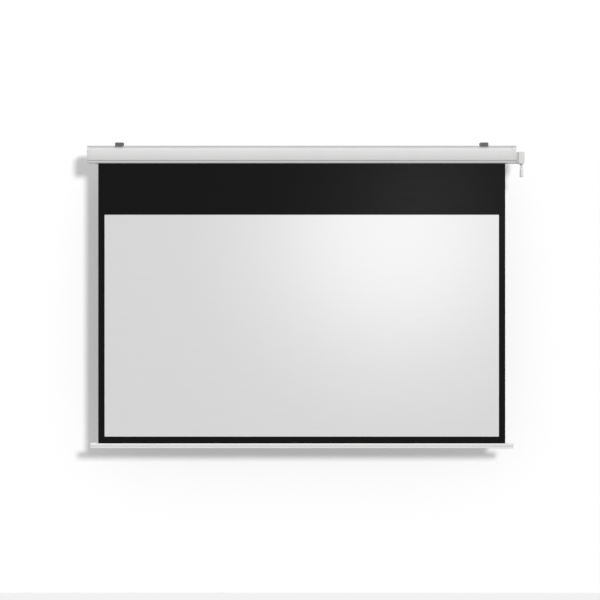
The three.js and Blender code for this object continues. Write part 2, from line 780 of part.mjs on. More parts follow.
function jointCross() {
  const reach = crossHalf + fitGap + earThickness;
  const half = [-crossHalf, crossHalf];
  return joined(
    block(half, half, half),
    rodX(trunnionRadius, 2 * reach, screwSides).translate(-reach, 0, 0),
    rodY(trunnionRadius, 2 * reach, screwSides).translate(0, -reach, 0),
  );
}

// Bell-shaped eye below the joint's centre, its ears pierced along X
function crankEye() {
  const bell = turned([
    [0, -eyeFootFall], [eyeFootRadius, -eyeFootFall],
    [eyeBellRadius, -eyeBellFall], [(eyeBellRadius + eyeTopRadius) / 2, -eyeWaistFall],
    [eyeTopRadius, -eyeTopFall], [0, -eyeTopFall],
  ], rodSides).rotateX(Math.PI / 2);
  const inner = crossHalf + fitGap;
  const ears = [-1, 1].map((side) => {
    const near = side < 0 ? -inner - earThickness : inner;
    return joined(
      rodX(earHalfWidth, earThickness).translate(near, 0, 0),
      block([near, near + earThickness], [-earHalfWidth, earHalfWidth], [-(eyeTopFall + overrun), 0]),
    );
  });
  const bore = rodX(trunnionRadius + fitGap, 2 * yokeRadius, screwSides).translate(-yokeRadius, 0, 0);
  const halfWidth = eyeHoleWidth / 2;
  const halfHeight = eyeHoleHeight / 2;
  const hole = alongX(outline([
    [-halfWidth, halfHeight, halfWidth], [halfWidth, halfHeight, halfWidth],
    [halfWidth, -halfHeight, halfWidth], [-halfWidth, -halfHeight, halfWidth],
  ]), 2 * (eyeBellRadius + overrun)).translate(-(eyeBellRadius + overrun), 0, -eyeHoleFall);
  return cut(joined(bell, ...ears), bore, hole);
}

// Gear case in the case's own frame, cut by everything that turns inside it
function gearOutline(inset) {
  return outline([
    [-(gearRearDepth + inset), -(gearTopDrop + inset), gearRound],
    [-(gearFrontDepth - inset), -(gearTopDrop + inset), gearRound],
    [-(gearFrontDepth - inset), -(gearBottomDrop - inset), gearRound],
    [-(gearFootDepth + inset), -(gearBottomDrop - inset), gearRound],
    [-(gearRearDepth + inset), -(gearHeelDrop - inset / 2), gearRound],
  ]);
}

function gearShell() {
  const bodyFrom = caseEnd + neckLength;
  const bodyTo = bodyFrom + gearBodyWidth;
  const side = outline([
    [-gearTopDrop, bodyFrom, 0], [-gearTopDrop, bodyTo, gearEdgeRound],
    [-gearBottomDrop, bodyTo, gearCornerRound], [-gearBottomDrop, bodyFrom, 0],
  ]);
  const body = common(
    alongX(gearOutline(0), gearBodyWidth).translate(bodyFrom, 0, 0),
    alongY(side, caseDepth).translate(0, -caseDepth, 0),
  );
  const neck = alongX(gearOutline(neckInset), neckLength + overrun).translate(caseEnd, 0, 0);
  const wheelHalf = wheelWidth / 2 + fitGap;
  const wheelRoom = wheelPitchRadius + addendum + wheelClearance;
  const hubEnd = wheelHalf + wheelHubLength;
  const onAxis = (geometry) => geometry.translate(0, -rollerDepth, -rollerDrop);
  const onWorm = (geometry, foot) => geometry.translate(gearX, -wormDepth, -foot);
  const wormTop = rollerDrop - wormLength / 2;
  const wormFoot = rollerDrop + wormLength / 2;
  const wormRoom = wormPitchRadius + addendum + wheelClearance;
  const screwLength = gearBodyWidth + neckLength;
  const screws = gearScrewPlaces.flatMap(({ depth, drop }) => [
    rodX(gearScrewRadius + fitGap, screwLength + 2 * overrun, screwSides)
      .translate(caseEnd - overrun, -depth, -drop),
    rodX(gearScrewHeadRadius + fitGap, gearScrewSink + overrun, screwSides)
      .translate(bodyTo - gearScrewSink, -depth, -drop),
  ]);
  return cut(
    joined(body, neck),
    onAxis(rodX(wheelRoom, 2 * wheelHalf, drumSides).translate(gearX - wheelHalf, 0, 0)),
    onAxis(rodX(wheelHubRadius + wheelClearance, wheelHalf + hubEnd).translate(gearX - hubEnd, 0, 0)),
    onAxis(rodX(neckHoleRadius, neckLength + gearBodyWidth / 2 + overrun)
      .translate(caseEnd - overrun, 0, 0)),
    onAxis(rodX(shaftStubRadius + fitGap, wheelHalf + shaftStubLength).translate(gearX, 0, 0)),
    onWorm(rodZ(wormUpperRadius + fitGap, wormUpperLength + fitGap + overrun),
      wormTop + overrun),
    onWorm(rodZ(wormRoom, wormLength + 2 * fitGap, drumSides), wormFoot + fitGap),
    onWorm(rodZ(wormShaftRadius + 2 * fitGap, wormBushTopDrop - wormFoot + 2 * overrun),
      wormBushTopDrop + overrun),
    onWorm(rodZ(wormBushFlangeRadius + fitGap, wormBushFlangeThickness + 2 * fitGap),
      wormBushTopDrop + wormBushFlangeThickness + fitGap),
    onWorm(rodZ(wormBushRadius + fitGap,
      gearBottomDrop + overrun - wormBushTopDrop - wormBushFlangeThickness), gearBottomDrop + overrun),
    ...screws,
  );
}

function gearHalf(isCover) {
  const reach = isCover ? [gearX, gearX + gearBodyWidth] : [caseEnd - overrun, gearX];
  return common(gearShell(),
    block(reach, [-(caseDepth + overrun), 0], [-(gearBottomDrop + overrun), 0]));
}

// Flanged bush round the worm shaft, flange up at z = 0
function wormBush() {
  const inner = wormShaftRadius + fitGap;
  const foot = -(wormBushFootFall - wormBushTopFall);
  return turned([
    [inner, foot], [wormBushRadius, foot], [wormBushRadius, -wormBushFlangeThickness],
    [wormBushFlangeRadius, -wormBushFlangeThickness], [wormBushFlangeRadius, 0],
    [inner, 0], [inner, foot],
  ]).rotateX(Math.PI / 2);
}

// Weight bar section with the middle of the cloth at 0 and the bar's top at 0
function barShape() {
  const half = barDepth / 2;
  const face = half - barFrontSetback;
  const shape = new THREE.Shape();
  shape.moveTo(half, -barRound);
  shape.quadraticCurveTo(half, 0, half - barRound, 0);
  shape.lineTo(-face, 0);
  shape.quadraticCurveTo(-(half + barFrontSetback), -barCreaseDrop / 2, -face, -barCreaseDrop);
  shape.lineTo(-(face - barCreaseDepth), -barCreaseDrop);
  shape.lineTo(-(face - barCreaseDepth), -(barCreaseDrop + barCreaseHeight));
  shape.lineTo(-face, -(barCreaseDrop + barCreaseHeight));
  shape.lineTo(-face, -(barHeight - barRound));
  shape.quadraticCurveTo(-face, -barHeight, -(face - barRound), -barHeight);
  shape.lineTo(half - barRound, -barHeight);
  shape.quadraticCurveTo(half, -barHeight, half, -(barHeight - barRound));
  shape.closePath();
  return shape;
}

function barHollow(inset) {
  const half = barDepth / 2 - inset;
  const front = barDepth / 2 - barFrontSetback - barCreaseDepth - inset;
  return outline([
    [half, -inset, 0], [-front, -inset, 0],
    [-front, -(barHeight - inset), 0], [half, -(barHeight - inset), 0],
  ]);
}

function bottomBar() {
  const full = barProfileLength + 2 * overrun;
  const shell = cut(alongX(barShape(), barProfileLength),
    alongX(barHollow(barWall), full).translate(-overrun, 0, 0));
  const cheek = barSlotWidth / 2 + barWall;
  const lining = joined(
    rodX(barChannelRadius + barWall, barProfileLength).translate(0, 0, -barChannelDrop),
    block([0, barProfileLength], [-cheek, cheek], [-barChannelDrop, 0]),
  );
  return cut(joined(shell, lining),
    rodX(barChannelRadius, full).translate(-overrun, 0, -barChannelDrop),
    block([-overrun, barProfileLength + overrun], [-barSlotWidth / 2, barSlotWidth / 2],
      [-barChannelDrop, overrun]),
  ).translate(-barProfileLength / 2, 0, 0);
}

// Bar end cap with its inner face at x = 0 and its rounded end towards +X
function barCap() {
  const half = barDepth / 2;
  const plan = outline([
    [0, half, 0], [barCapLength, half, barCapRound], [barCapLength, -half, barCapRound], [0, -half, 0],
  ]);
  const side = outline([
    [0, 0, 0], [0, barCapLength, barRound], [-barHeight, barCapLength, barCapRound], [-barHeight, 0, 0],
  ]);
  const body = common(
    alongX(barShape(), barCapLength),
    alongZ(plan, barHeight).translate(0, 0, -barHeight),
    alongY(side, barDepth).translate(0, -half, 0),
  );
  const inner = barWall + fitGap;
  const tongueTop = barChannelDrop + barChannelRadius + barWall + fitGap;
  const tongue = block([-barTongueLength, overrun],
    [-(half - barFrontSetback - barCreaseDepth - inner), half - inner], [-(barHeight - inner), -tongueTop]);
  return joined(body, tongue);
}

// Cloth with a hem loop round the hem rod, in the case's own frame
function screenFabric() {
  const rodDrop = barTopDrop + barChannelDrop;
  const middle = -barCentre;
  const loop = hemRodRadius + hemGap + clothThickness;
  const top = rollerDrop + fitGap;
  const sheet = block([-clothWidth / 2, clothWidth / 2], [-clothFront, -clothRear],
    [-(rodDrop - loop + fitGap), -top]);
  const hem = rodX(loop, clothWidth).translate(-clothWidth / 2, middle, -rodDrop);
  const bore = rodX(hemRodRadius + hemGap, clothWidth + 2 * overrun)
    .translate(-clothWidth / 2 - overrun, middle, -rodDrop);
  return cut(joined(sheet, hem), bore);
}

function blackMasking() {
  const half = clothWidth / 2;
  const pictureTop = caseHeight + topDrop;
  const top = -(rollerDrop + fitGap);
  const foot = -(barTopDrop + barChannelDrop - barChannelRadius);
  const frame = outline([[foot, -half], [top, -half], [top, half], [foot, half]]);
  const window = [
    [-pictureTop, -pictureWidth / 2], [-pictureTop, pictureWidth / 2],
    [-(pictureTop + pictureHeight), pictureWidth / 2], [-(pictureTop + pictureHeight), -pictureWidth / 2],
  ];
  frame.holes.push(new THREE.Path(window.map(([z, x]) => new THREE.Vector2(z, x))));
  return alongY(frame, maskThickness).translate(0, -clothFront - maskThickness, 0);
}

// Bracket in the case's own frame, centred on x = 0
function slotAlong(length, width) {
  return outline([
    [-length / 2, -width / 2, bracketSlotRound], [length / 2, -width / 2, bracketSlotRound],
    [length / 2, width / 2, bracketSlotRound], [-length / 2, width / 2, bracketSlotRound],
  ]);
}

function bracket() {
  const across = [-bracketWidth / 2, bracketWidth / 2];
  const tabGap = (railGrooveHeight - bracketTab) / 2;
  const tab = [-(railGrooveDrop + railGrooveHeight - tabGap), -(railGrooveDrop + tabGap)];
  const body = joined(
    block(across, [wallStandOff - bracketPlate, wallStandOff], [-bracketWallDrop, bracketRise]),
    block(across, [-lugFront, wallStandOff], [bracketRise - bracketPlate, bracketRise]),
    block(across, [-(railGrooveDepth - fitGap), wallStandOff], tab),
    block(across, [-lugFront, -(lugFront - bracketPlate)], [bracketLugFoot, bracketRise]),
  );
  const wallSlots = [0, 1].map((step) =>
    alongY(slotAlong(bracketSlotLength, bracketSlotWidth), bracketPlate + 2 * overrun)
      .translate(0, wallStandOff - bracketPlate - overrun, -(wallSlotDrop + step * wallSlotPitch)));
  const ceilingSlots = [0, 1].map((step) =>
    alongZ(slotAlong(bracketSlotWidth, bracketSlotLength), bracketPlate + 2 * overrun)
      .translate(0, -(ceilingSlotDepth + step * ceilingSlotPitch), bracketRise - bracketPlate - overrun));
  const screwHole = rodY(jawScrewRadius + fitGap, bracketPlate + 2 * overrun)
    .translate(0, -lugFront - overrun, jawScrewRise);
  return cut(body, ...wallSlots, ...ceilingSlots, screwHole);
}

function bracketJaw() {
  const half = bracketWidth / 2;
  const tabGap = (bandGrooveHeight - jawTab) / 2;
  const rear = -(bandFront + fitGap);
  const plate = alongY(outline([
    [-jawDrop, -half, jawRound], [bracketRise, -half, jawRound],
    [bracketRise, half, jawRound], [-jawDrop, half, jawRound],
  ]), jawPlate).translate(0, rear - jawPlate, 0);
  const lip = block([-half, half], [rear - fitGap, -(bandFront - jawReach)],
    [-(bandGrooveDrop + bandGrooveHeight - tabGap), -(bandGrooveDrop + tabGap)]);
  const boss = rodY(jawBossRadius, bracketLugSetback + fitGap).translate(0, rear - fitGap, jawScrewRise);
  const hole = rodY(jawScrewRadius + fitGap, jawPlate + bracketLugSetback + 2 * overrun)
    .translate(0, rear - jawPlate - overrun, jawScrewRise);
  return cut(joined(plate, lip, boss), hole);
}

function jawNut() {
  const half = nutWidth / 2;
  const front = -(lugFront - bracketPlate - fitGap);
  return cut(
    block([-half, half], [front, front + nutThickness], [jawScrewRise - half, jawScrewRise + half]),
    rodY(jawScrewRadius + fitGap, nutThickness + 2 * overrun).translate(0, front - overrun, jawScrewRise),
  );
}

function jawScrew() {
  return screw(jawScrewRadius, jawScrewLength, jawScrewHeadRadius, jawScrewHeadHeight)
    .rotateX(Math.PI).translate(0, -(bandFront + jawPlate + 2 * fitGap), jawScrewRise);
}

// Assembly
function addPiece(group, name, geometry, finish) {
  const ready = closed(geometry);
  ready.computeVertexNormals();
  const mesh = new THREE.Mesh(ready, new THREE.MeshStandardMaterial({ ...finish, flatShading: true }));
  mesh.name = name;
  group.add(mesh);
  return mesh;
}

function groupAt(parent, x, y, z) {
  const group = new THREE.Group();
  group.position.set(x, y, z);
  parent.add(group);
  return group;
}

const projectorScreen = new THREE.Group();
const hung = groupAt(projectorScreen, 0, -wallStandOff, 0);

function addCase() {
  addPiece(hung, 'case_profile', caseProfile(), caseWhite);
  const leftEnd = groupAt(hung, -caseHalf, 0, 0);
  const rightEnd = groupAt(hung, caseHalf, 0, 0);
  addPiece(leftEnd, 'end_cap_left', endCap(false).scale(-1, 1, 1), plasticWhite);
  addPiece(rightEnd, 'end_cap_right', endCap(true), plasticWhite);
  const pinHole = pinShankRadius + fitGap;
  const bushHole = shaftJournalRadius + fitGap + bushWall + fitGap;
  addPiece(leftEnd, 'bearing_plate_left', bearingPlate(pinHole).scale(-1, 1, 1), steelBright);
  addPiece(rightEnd, 'bearing_plate_right', bearingPlate(bushHole), steelBright);
  const head = capWidth - capScrewSink + fitGap;
  const screwLength = head + capScrewGrip;
  capScrewPlaces.forEach(({ name, depth, drop }) => {
    const piece = () => screw(capScrewRadius, screwLength, capScrewHeadRadius, capScrewHeadHeight)
      .rotateZ(-Math.PI / 2).translate(head, -depth, -drop);
    addPiece(leftEnd, `cap_screw_left_${name}`, piece().scale(-1, 1, 1), steelBright);
    addPiece(rightEnd, `cap_screw_right_${name}`, piece(), steelBright);
  });
  const pin = idlerPin().translate(0, -rollerDepth, -rollerDrop);
  addPiece(leftEnd, 'idler_pin', pin, steelBright);
  addPiece(rightEnd, 'shaft_bush', shaftBush().translate(0, -rollerDepth, -rollerDrop), nylonBlack);
}

function addGearCase() {
  addPiece(hung, 'gear_housing', gearHalf(false), gearGrey);
  addPiece(hung, 'gear_cover', gearHalf(true), gearGrey);
  addPiece(groupAt(hung, gearX, -wormDepth, -wormBushTopDrop), 'worm_bush', wormBush(), gearGrey);
  const head = caseEnd + neckLength + gearBodyWidth - gearScrewSink + fitGap;
  const screwLength = head - caseEnd + gearScrewGrip - fitGap;
  gearScrewPlaces.forEach(({ depth, drop }, i) => {
    addPiece(groupAt(hung, head, -depth, -drop), `gear_screw_${i + 1}`,
      screw(gearScrewRadius, screwLength, gearScrewHeadRadius, gearScrewHeadHeight).rotateZ(-Math.PI / 2),
      steelBright);
  });
}

function addRoller() {
  const axis = groupAt(hung, 0, -rollerDepth, -rollerDrop);
  const end = rollerLength / 2 + plugFlangeThickness;
  const plugDepth = plugLength + plugFlangeThickness + 2 * overrun;
  const half = shaftSquare / 2 + fitGap;
  const pinBore = rodX(pinRadius + fitGap, plugDepth).translate(overrun - plugDepth, 0, 0);
  const squareBore = block([overrun - plugDepth, overrun], [-half, half], [-half, half]);
  addPiece(axis, 'roller_tube', rollerTube(), aluminium);
  addPiece(axis, 'idler_plug', rollerPlug(pinBore).scale(-1, 1, 1).translate(-end, 0, 0), nylonBlack);
  addPiece(axis, 'drive_plug', rollerPlug(squareBore).translate(end, 0, 0), nylonBlack);
  addPiece(axis, 'drive_shaft', driveShaft(), steelBright);
  addPiece(groupAt(axis, gearX, 0, 0), 'worm_wheel', wormWheel(), bronze);
  addPiece(axis, 'fabric_wrap', fabricWrap(), screenWhite);
  const spline = channelPlace(rodX(splineRadius, clothWidth, screwSides)).translate(-clothWidth / 2, 0, 0);
  addPiece(axis, 'spline_rod', spline, plasticWhite);
}

function addCrank() {
  const worm = groupAt(hung, gearX, -wormDepth, -rollerDrop);
  addPiece(worm, 'worm_shaft', wormShaft(), steelBright);
  const centre = groupAt(worm, 0, 0, -crossFall);
  addPiece(centre, 'joint_cross', jointCross(), steelBright);
  addPiece(centre, 'crank_eye', crankEye(), plasticWhite);
}

function addCloth() {
  addPiece(hung, 'screen_fabric', screenFabric(), screenWhite);
  addPiece(hung, 'black_masking', blackMasking(), maskBlack);
}

function addBar() {
  const foot = groupAt(hung, 0, -barCentre, -barTopDrop);
  addPiece(foot, 'bottom_bar', bottomBar(), caseWhite);
  const end = barProfileLength / 2;
  addPiece(foot, 'bar_cap_left', barCap().scale(-1, 1, 1).translate(-end, 0, 0), plasticWhite);
  addPiece(foot, 'bar_cap_right', barCap().translate(end, 0, 0), plasticWhite);
  const rod = rodX(hemRodRadius, clothWidth, screwSides).translate(-clothWidth / 2, 0, -barChannelDrop);
  addPiece(foot, 'hem_rod', rod, steelBright);
}

function addBrackets() {
  [['left', -bracketPlace], ['right', bracketPlace]].forEach(([side, place]) => {
    const group = groupAt(hung, place, 0, 0);
    addPiece(group, `bracket_${side}`, bracket(), steelDark);
    addPiece(group, `jaw_nut_${side}`, jawNut(), steelBright);
    addPiece(group, `bracket_jaw_${side}`, bracketJaw(), steelDark);
    addPiece(group, `jaw_screw_${side}`, jawScrew(), steelDark);
  });
}

addCase();
addGearCase();
addRoller();
addCrank();
addCloth();
addBar();
addBrackets();

export default projectorScreen;
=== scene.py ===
"""The looks of a crank-operated projection screen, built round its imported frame."""

import json
import math

import bpy
from bpy.props import FloatProperty, FloatVectorProperty, IntProperty, PointerProperty
from bpy.types import Operator, Panel, PropertyGroup
from mathutils import Matrix, Vector

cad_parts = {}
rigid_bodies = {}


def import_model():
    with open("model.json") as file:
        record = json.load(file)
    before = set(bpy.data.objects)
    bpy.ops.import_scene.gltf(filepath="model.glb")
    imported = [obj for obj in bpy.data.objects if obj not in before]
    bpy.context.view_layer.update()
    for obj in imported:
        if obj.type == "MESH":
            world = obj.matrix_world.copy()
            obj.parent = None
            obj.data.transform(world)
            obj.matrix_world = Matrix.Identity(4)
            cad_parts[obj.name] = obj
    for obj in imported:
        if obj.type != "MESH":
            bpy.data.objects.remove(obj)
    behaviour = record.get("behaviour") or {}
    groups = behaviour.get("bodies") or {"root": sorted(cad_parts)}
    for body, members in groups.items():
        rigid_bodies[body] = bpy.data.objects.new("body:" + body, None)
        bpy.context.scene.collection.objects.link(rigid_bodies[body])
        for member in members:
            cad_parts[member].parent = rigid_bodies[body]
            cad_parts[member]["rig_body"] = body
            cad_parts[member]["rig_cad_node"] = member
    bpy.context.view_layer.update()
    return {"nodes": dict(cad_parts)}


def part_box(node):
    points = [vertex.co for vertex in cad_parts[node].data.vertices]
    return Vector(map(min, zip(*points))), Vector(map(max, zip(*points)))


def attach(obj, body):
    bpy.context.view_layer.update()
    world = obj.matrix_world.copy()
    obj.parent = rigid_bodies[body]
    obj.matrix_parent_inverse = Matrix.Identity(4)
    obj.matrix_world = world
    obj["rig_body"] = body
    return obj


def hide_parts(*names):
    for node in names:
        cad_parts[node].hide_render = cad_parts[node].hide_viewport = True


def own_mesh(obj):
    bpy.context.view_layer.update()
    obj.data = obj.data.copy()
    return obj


bl_info = {
    "name": "Projection screen",
    "version": (1, 0, 0),
    "blender": (4, 5, 0),
    "location": "3D View > Sidebar > Projection screen",
    "description": "Dresses the packed screen: painted case, moulded ends, cloth, bar and brackets",
    "category": "Object",
}

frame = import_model()

MILLIMETRE = 0.001


# Properties


def colour(name, description, value):
    return FloatVectorProperty(
        name=name, description=description, subtype="COLOR", size=3, min=0.0, max=1.0, default=value
    )


def length(name, description, value):
    return FloatProperty(name=name, description=description, unit="LENGTH", precision=5, default=value)


def share(name, description, value):
    return FloatProperty(name=name, description=description, min=0.0, soft_max=1.0, default=value)


class ScreenColours(PropertyGroup):
    paint: colour("Case paint", "Powder coat of the case", (0.83, 0.83, 0.825))
    # The bar's paint is lighter than the case's paint: a painted highlight along the bar
    bar: colour("Bar paint", "Powder coat of the weight bar and its ends", (0.92, 0.92, 0.915))
    moulding: colour("Moulded ends", "Plastic of the end caps and the crank eye", (0.80, 0.80, 0.79))
    gear_case: colour("Gear case", "Plastic of the gear case", (0.79, 0.79, 0.785))
    # The neck's darker colour is painted shade of the recessed joint beside the case
    neck: colour("Gear case neck shade", "Neck beside the case, darker as painted shade", (0.60, 0.60, 0.60))
    bracket: colour("Brackets", "Dark plated steel of the brackets", (0.13, 0.132, 0.135))
    zinc: colour("Zinc", "Bright zinc plate of screws and shafts", (0.62, 0.63, 0.64))
    aluminium: colour("Aluminium", "Bare roller tube", (0.68, 0.69, 0.70))
    bronze: colour("Bronze", "Worm wheel", (0.42, 0.26, 0.09))
    nylon: colour("Nylon", "Black bushes and plugs", (0.016, 0.016, 0.017))
    picture: colour("Picture area", "Matt white face of the cloth", (0.80, 0.80, 0.80))
    border: colour("Border", "Black border and drop", (0.004, 0.004, 0.004))
    backing: colour("Cloth back", "Dark backing of the cloth", (0.022, 0.022, 0.023))


class ScreenSizes(PropertyGroup):
    edge_round: length("Edge round", "Rounding of the extrusions' edges", 0.0004)
    moulded_round: length("Moulded round", "Rounding of the moulded edges", 0.0005)
    cloth_ripple: length("Cloth ripple", "How far the hanging cloth strays from flat", 0.0005)
    seam_height: length("Hem seam", "Height of the welded hem above its rod", 0.008)
    cloth_columns: IntProperty(
        name="Cloth columns", description="Divisions across the cloth", min=8, default=60
    )
    cloth_rows: IntProperty(
        name="Cloth rows", description="Divisions down the cloth", min=8, default=64
    )


class ScreenStage(PropertyGroup):
    camera_distance: length("Camera distance", "From the cloth to the camera", 16.0)
    view_width: length("View width", "Width of the view at the cloth", 2.739)
    view_x: length("View centre X", "Middle of the view", -0.008)
    view_z: length("View centre Z", "Middle of the view", -0.705)
    floor_z: length("Floor height", "Floor below the case top", -2.06)
    ambient: share("Ambient", "Light from all round", 0.60)
    key: share("Key", "Sun from the upper right, on all but the wall", 0.39)
    glow: share("Glow", "Soft spot on the upper right of the cloth", 0.315)
    sheen: share("Sheen", "Close lamp on the upper right of the black border", 0.75)
    wall_gap: length("Wall gap", "From the brackets' backs to the wall", 0.150)
    wall_sun: share("Wall sun", "The wall's own sun", 0.91)
    wall_light: share("Wall light", "What the wall shows beside the lamps' light", 0.315)
    floor_light: share("Floor light", "What the floor shows beside the lamps' light", 0.64)


def colours():
    return bpy.context.scene.screen_colours


def sizes():
    return bpy.context.scene.screen_sizes


def stage_settings():
    return bpy.context.scene.screen_stage


# Node groups


def new_group(name, inputs, outputs):
    """The wiring of a new node group, and its inputs and outputs, given as (name, type, default)."""
    tree = bpy.data.node_groups.new(name, "ShaderNodeTree")
    for label, kind, default in inputs:
        socket = tree.interface.new_socket(label, in_out="INPUT", socket_type=kind)
        if default is not None:
            socket.default_value = default
    for label, kind in outputs:
        tree.interface.new_socket(label, in_out="OUTPUT", socket_type=kind)
    into = tree.nodes.new("NodeGroupInput")
    out = tree.nodes.new("NodeGroupOutput")
    return Wiring(tree), into.outputs, out.inputs


class Wiring:
    """Short ways to add and join nodes in one tree."""

    def __init__(self, tree):
        self.tree = tree

    def put(self, socket, value):
        """Joins another socket to this one, or sets its value."""
        if isinstance(value, bpy.types.NodeSocket):
            self.tree.links.new(value, socket)
        else:
            socket.default_value = value

    def fill(self, node, **values):
        """The node with these inputs joined or set; an underscore stands for a space."""
        for key, value in values.items():
            self.put(node.inputs[key.replace("_", " ")], value)
        return node

    def add(self, kind, *values, **settings):
        """A new node with these settings, and these values in its first inputs."""
        node = self.tree.nodes.new(kind)
        for key, value in settings.items():
            setattr(node, key, value)
        for socket, value in zip(node.inputs, values):
            self.put(socket, value)
        return node

    def maths(self, operation, *values, clamp=False):
        return self.add("ShaderNodeMath", *values, operation=operation, use_clamp=clamp).outputs[0]

    def spread(self, value, low, high, to_low=0.0, to_high=1.0):
        return self.add("ShaderNodeMapRange", value, low, high, to_low, to_high).outputs[0]

    def noise(self, vector, scale, detail=2.0, roughness=0.5):
        node = self.add("ShaderNodeTexNoise")
        self.fill(node, Vector=vector, Scale=scale, Detail=detail, Roughness=roughness)
        return node.outputs["Fac"]

    def stretched(self, vector, scale):
        return self.fill(self.add("ShaderNodeMapping", vector), Scale=scale).outputs["Vector"]

    def tint(self, factor, first, second):
        node = self.add("ShaderNodeMix", data_type="RGBA")
        self.put(node.inputs[0], factor)
        self.put(node.inputs[6], first)
        self.put(node.inputs[7], second)
        return node.outputs[2]

    def wander(self, noise, value, swing):
        """A value that strays by the swing to each side, over the range that most noise keeps to."""
        return self.spread(noise, 0.3, 0.7, value - swing, value + swing)

    def effect(self, name, **values):
        """One of the node groups in EFFECTS, with these inputs."""
        return self.fill(self.add("ShaderNodeGroup", node_tree=EFFECTS[name]), **values)


FLOAT, VECTOR = "NodeSocketFloat", "NodeSocketVector"


def grain_group():
    """Fine grain of a sprayed or moulded skin, and the slow unevenness of its tone."""
    w, given, out = new_group(
        "Skin grain",
        [("Vector", VECTOR, None), ("Scale", FLOAT, 900.0)],
        [("Height", FLOAT), ("Tone", FLOAT)],
    )
    w.put(out["Height"], w.noise(given["Vector"], given["Scale"], detail=3.0))
    w.put(out["Tone"], w.noise(given["Vector"], scale=14.0))
    return w.tree


def drawn_group():
    """Faint lines that an extrusion die or a drawing bench leaves along X."""
    w, given, out = new_group(
        "Drawn lines",
        [("Vector", VECTOR, None), ("Scale", FLOAT, 700.0)],
        [("Height", FLOAT), ("Mask", FLOAT)],
    )
    lines = w.noise(w.stretched(given["Vector"], (0.002, 1.0, 1.0)), given["Scale"], roughness=0.7)
    w.put(out["Height"], lines)
    w.put(out["Mask"], w.spread(lines, 0.55, 0.75))
    return w.tree


def wear_group():
    """Edges rubbed by handling: where the rounded normal leaves the real one, broken up by noise."""
    w, given, out = new_group(
        "Edge wear",
        [("Vector", VECTOR, None), ("Radius", FLOAT, 0.0008), ("Breakup", FLOAT, 160.0)],
        [("Mask", FLOAT)],
    )
    soft = w.add("ShaderNodeBevel", given["Radius"], samples=4).outputs["Normal"]
    real = w.add("ShaderNodeNewGeometry").outputs["Normal"]
    dot = w.add("ShaderNodeVectorMath", soft, real, operation="DOT_PRODUCT")
    edge = w.spread(dot.outputs["Value"], 0.995, 0.86)
    patches = w.spread(w.noise(given["Vector"], given["Breakup"], detail=3.0), 0.38, 0.66)
    w.put(out["Mask"], w.maths("MULTIPLY", edge, patches, clamp=True))
    return w.tree


def crevice_group():
    """Mask of painted shade where little light gets in from all round: bottoms of grooves, creases,
    joints.
    """
    w, given, out = new_group("Painted crevice shade", [("Distance", FLOAT, 0.008)], [("Mask", FLOAT)])
    open_sky = w.fill(w.add("ShaderNodeAmbientOcclusion", samples=6), Distance=given["Distance"])
    w.put(out["Mask"], w.spread(open_sky.outputs["AO"], 0.9, 0.35))
    return w.tree


def dust_group():
    """Dust that settles on faces that look up."""
    w, given, out = new_group("Settled dust", [("Vector", VECTOR, None)], [("Mask", FLOAT)])
    normal = w.add("ShaderNodeSeparateXYZ", w.add("ShaderNodeNewGeometry").outputs["Normal"])
    up = w.spread(normal.outputs["Z"], 0.35, 0.95)
    clumps = w.spread(w.noise(given["Vector"], scale=60.0, detail=4.0, roughness=0.65), 0.35, 0.7)
    w.put(out["Mask"], w.maths("MULTIPLY", up, clumps, clamp=True))
    return w.tree


def weave_group():
    """Plain weave seen through a coating; the vector runs along the threads, in metres."""
    w, given, out = new_group(
        "Coated weave",
        [("Vector", VECTOR, None), ("Threads", FLOAT, 1800.0)],
        [("Height", FLOAT), ("Tone", FLOAT)],
    )
    parts = w.add("ShaderNodeSeparateXYZ", given["Vector"])
    turn = w.maths("MULTIPLY", given["Threads"], math.pi)
    across, along = (w.maths("SINE", w.maths("MULTIPLY", parts.outputs[way], turn)) for way in "XY")
    crossed = w.maths("MULTIPLY", across, along)
    w.put(out["Height"], w.maths("MULTIPLY_ADD", crossed, 0.5, 0.5))
    slubs = w.stretched(given["Vector"], (1.0, 6.0, 1.0))
    w.put(out["Tone"], w.noise(slubs, scale=9.0, detail=3.0))
    return w.tree


# Materials


def shade(value, factor):
    """A colour made lighter or darker by a factor, with its alpha."""
    return tuple(min(1.0, part * factor) for part in value) + (1.0,)


COAT_ROUGHNESS = 0.3


def start_material(name, roughness, metallic=0.0, specular=0.5, coat=0.0):
    """A material, its wiring and its Principled shader, with the values that are the same all over."""
    made = bpy.data.materials.new(name)
    made.use_nodes = True
    w = Wiring(made.node_tree)
    shader = w.fill(
        made.node_tree.nodes["Principled BSDF"], Roughness=roughness, Metallic=metallic,
        Specular_IOR_Level=specular, Coat_Weight=coat, Coat_Roughness=COAT_ROUGHNESS,
    )
    return made, w, shader


def place_vector(w):
    return w.add("ShaderNodeTexCoord").outputs["Object"]


def raise_bump(w, shader, height, distance, strength=0.5):
    bump = w.fill(w.add("ShaderNodeBump"), Height=height, Distance=distance, Strength=strength)
    w.put(shader.inputs["Normal"], bump.outputs["Normal"])


# How much of the crevice mask shows as painted shade, and how dark that painted shade is beside the
# skin
CREVICE_SHADE_SHARE = 0.45
CREVICE_SHADE_TONE = 0.4
DUST_COLOUR = (0.42, 0.41, 0.39, 1.0)
LINE_DEPTH = 2e-5


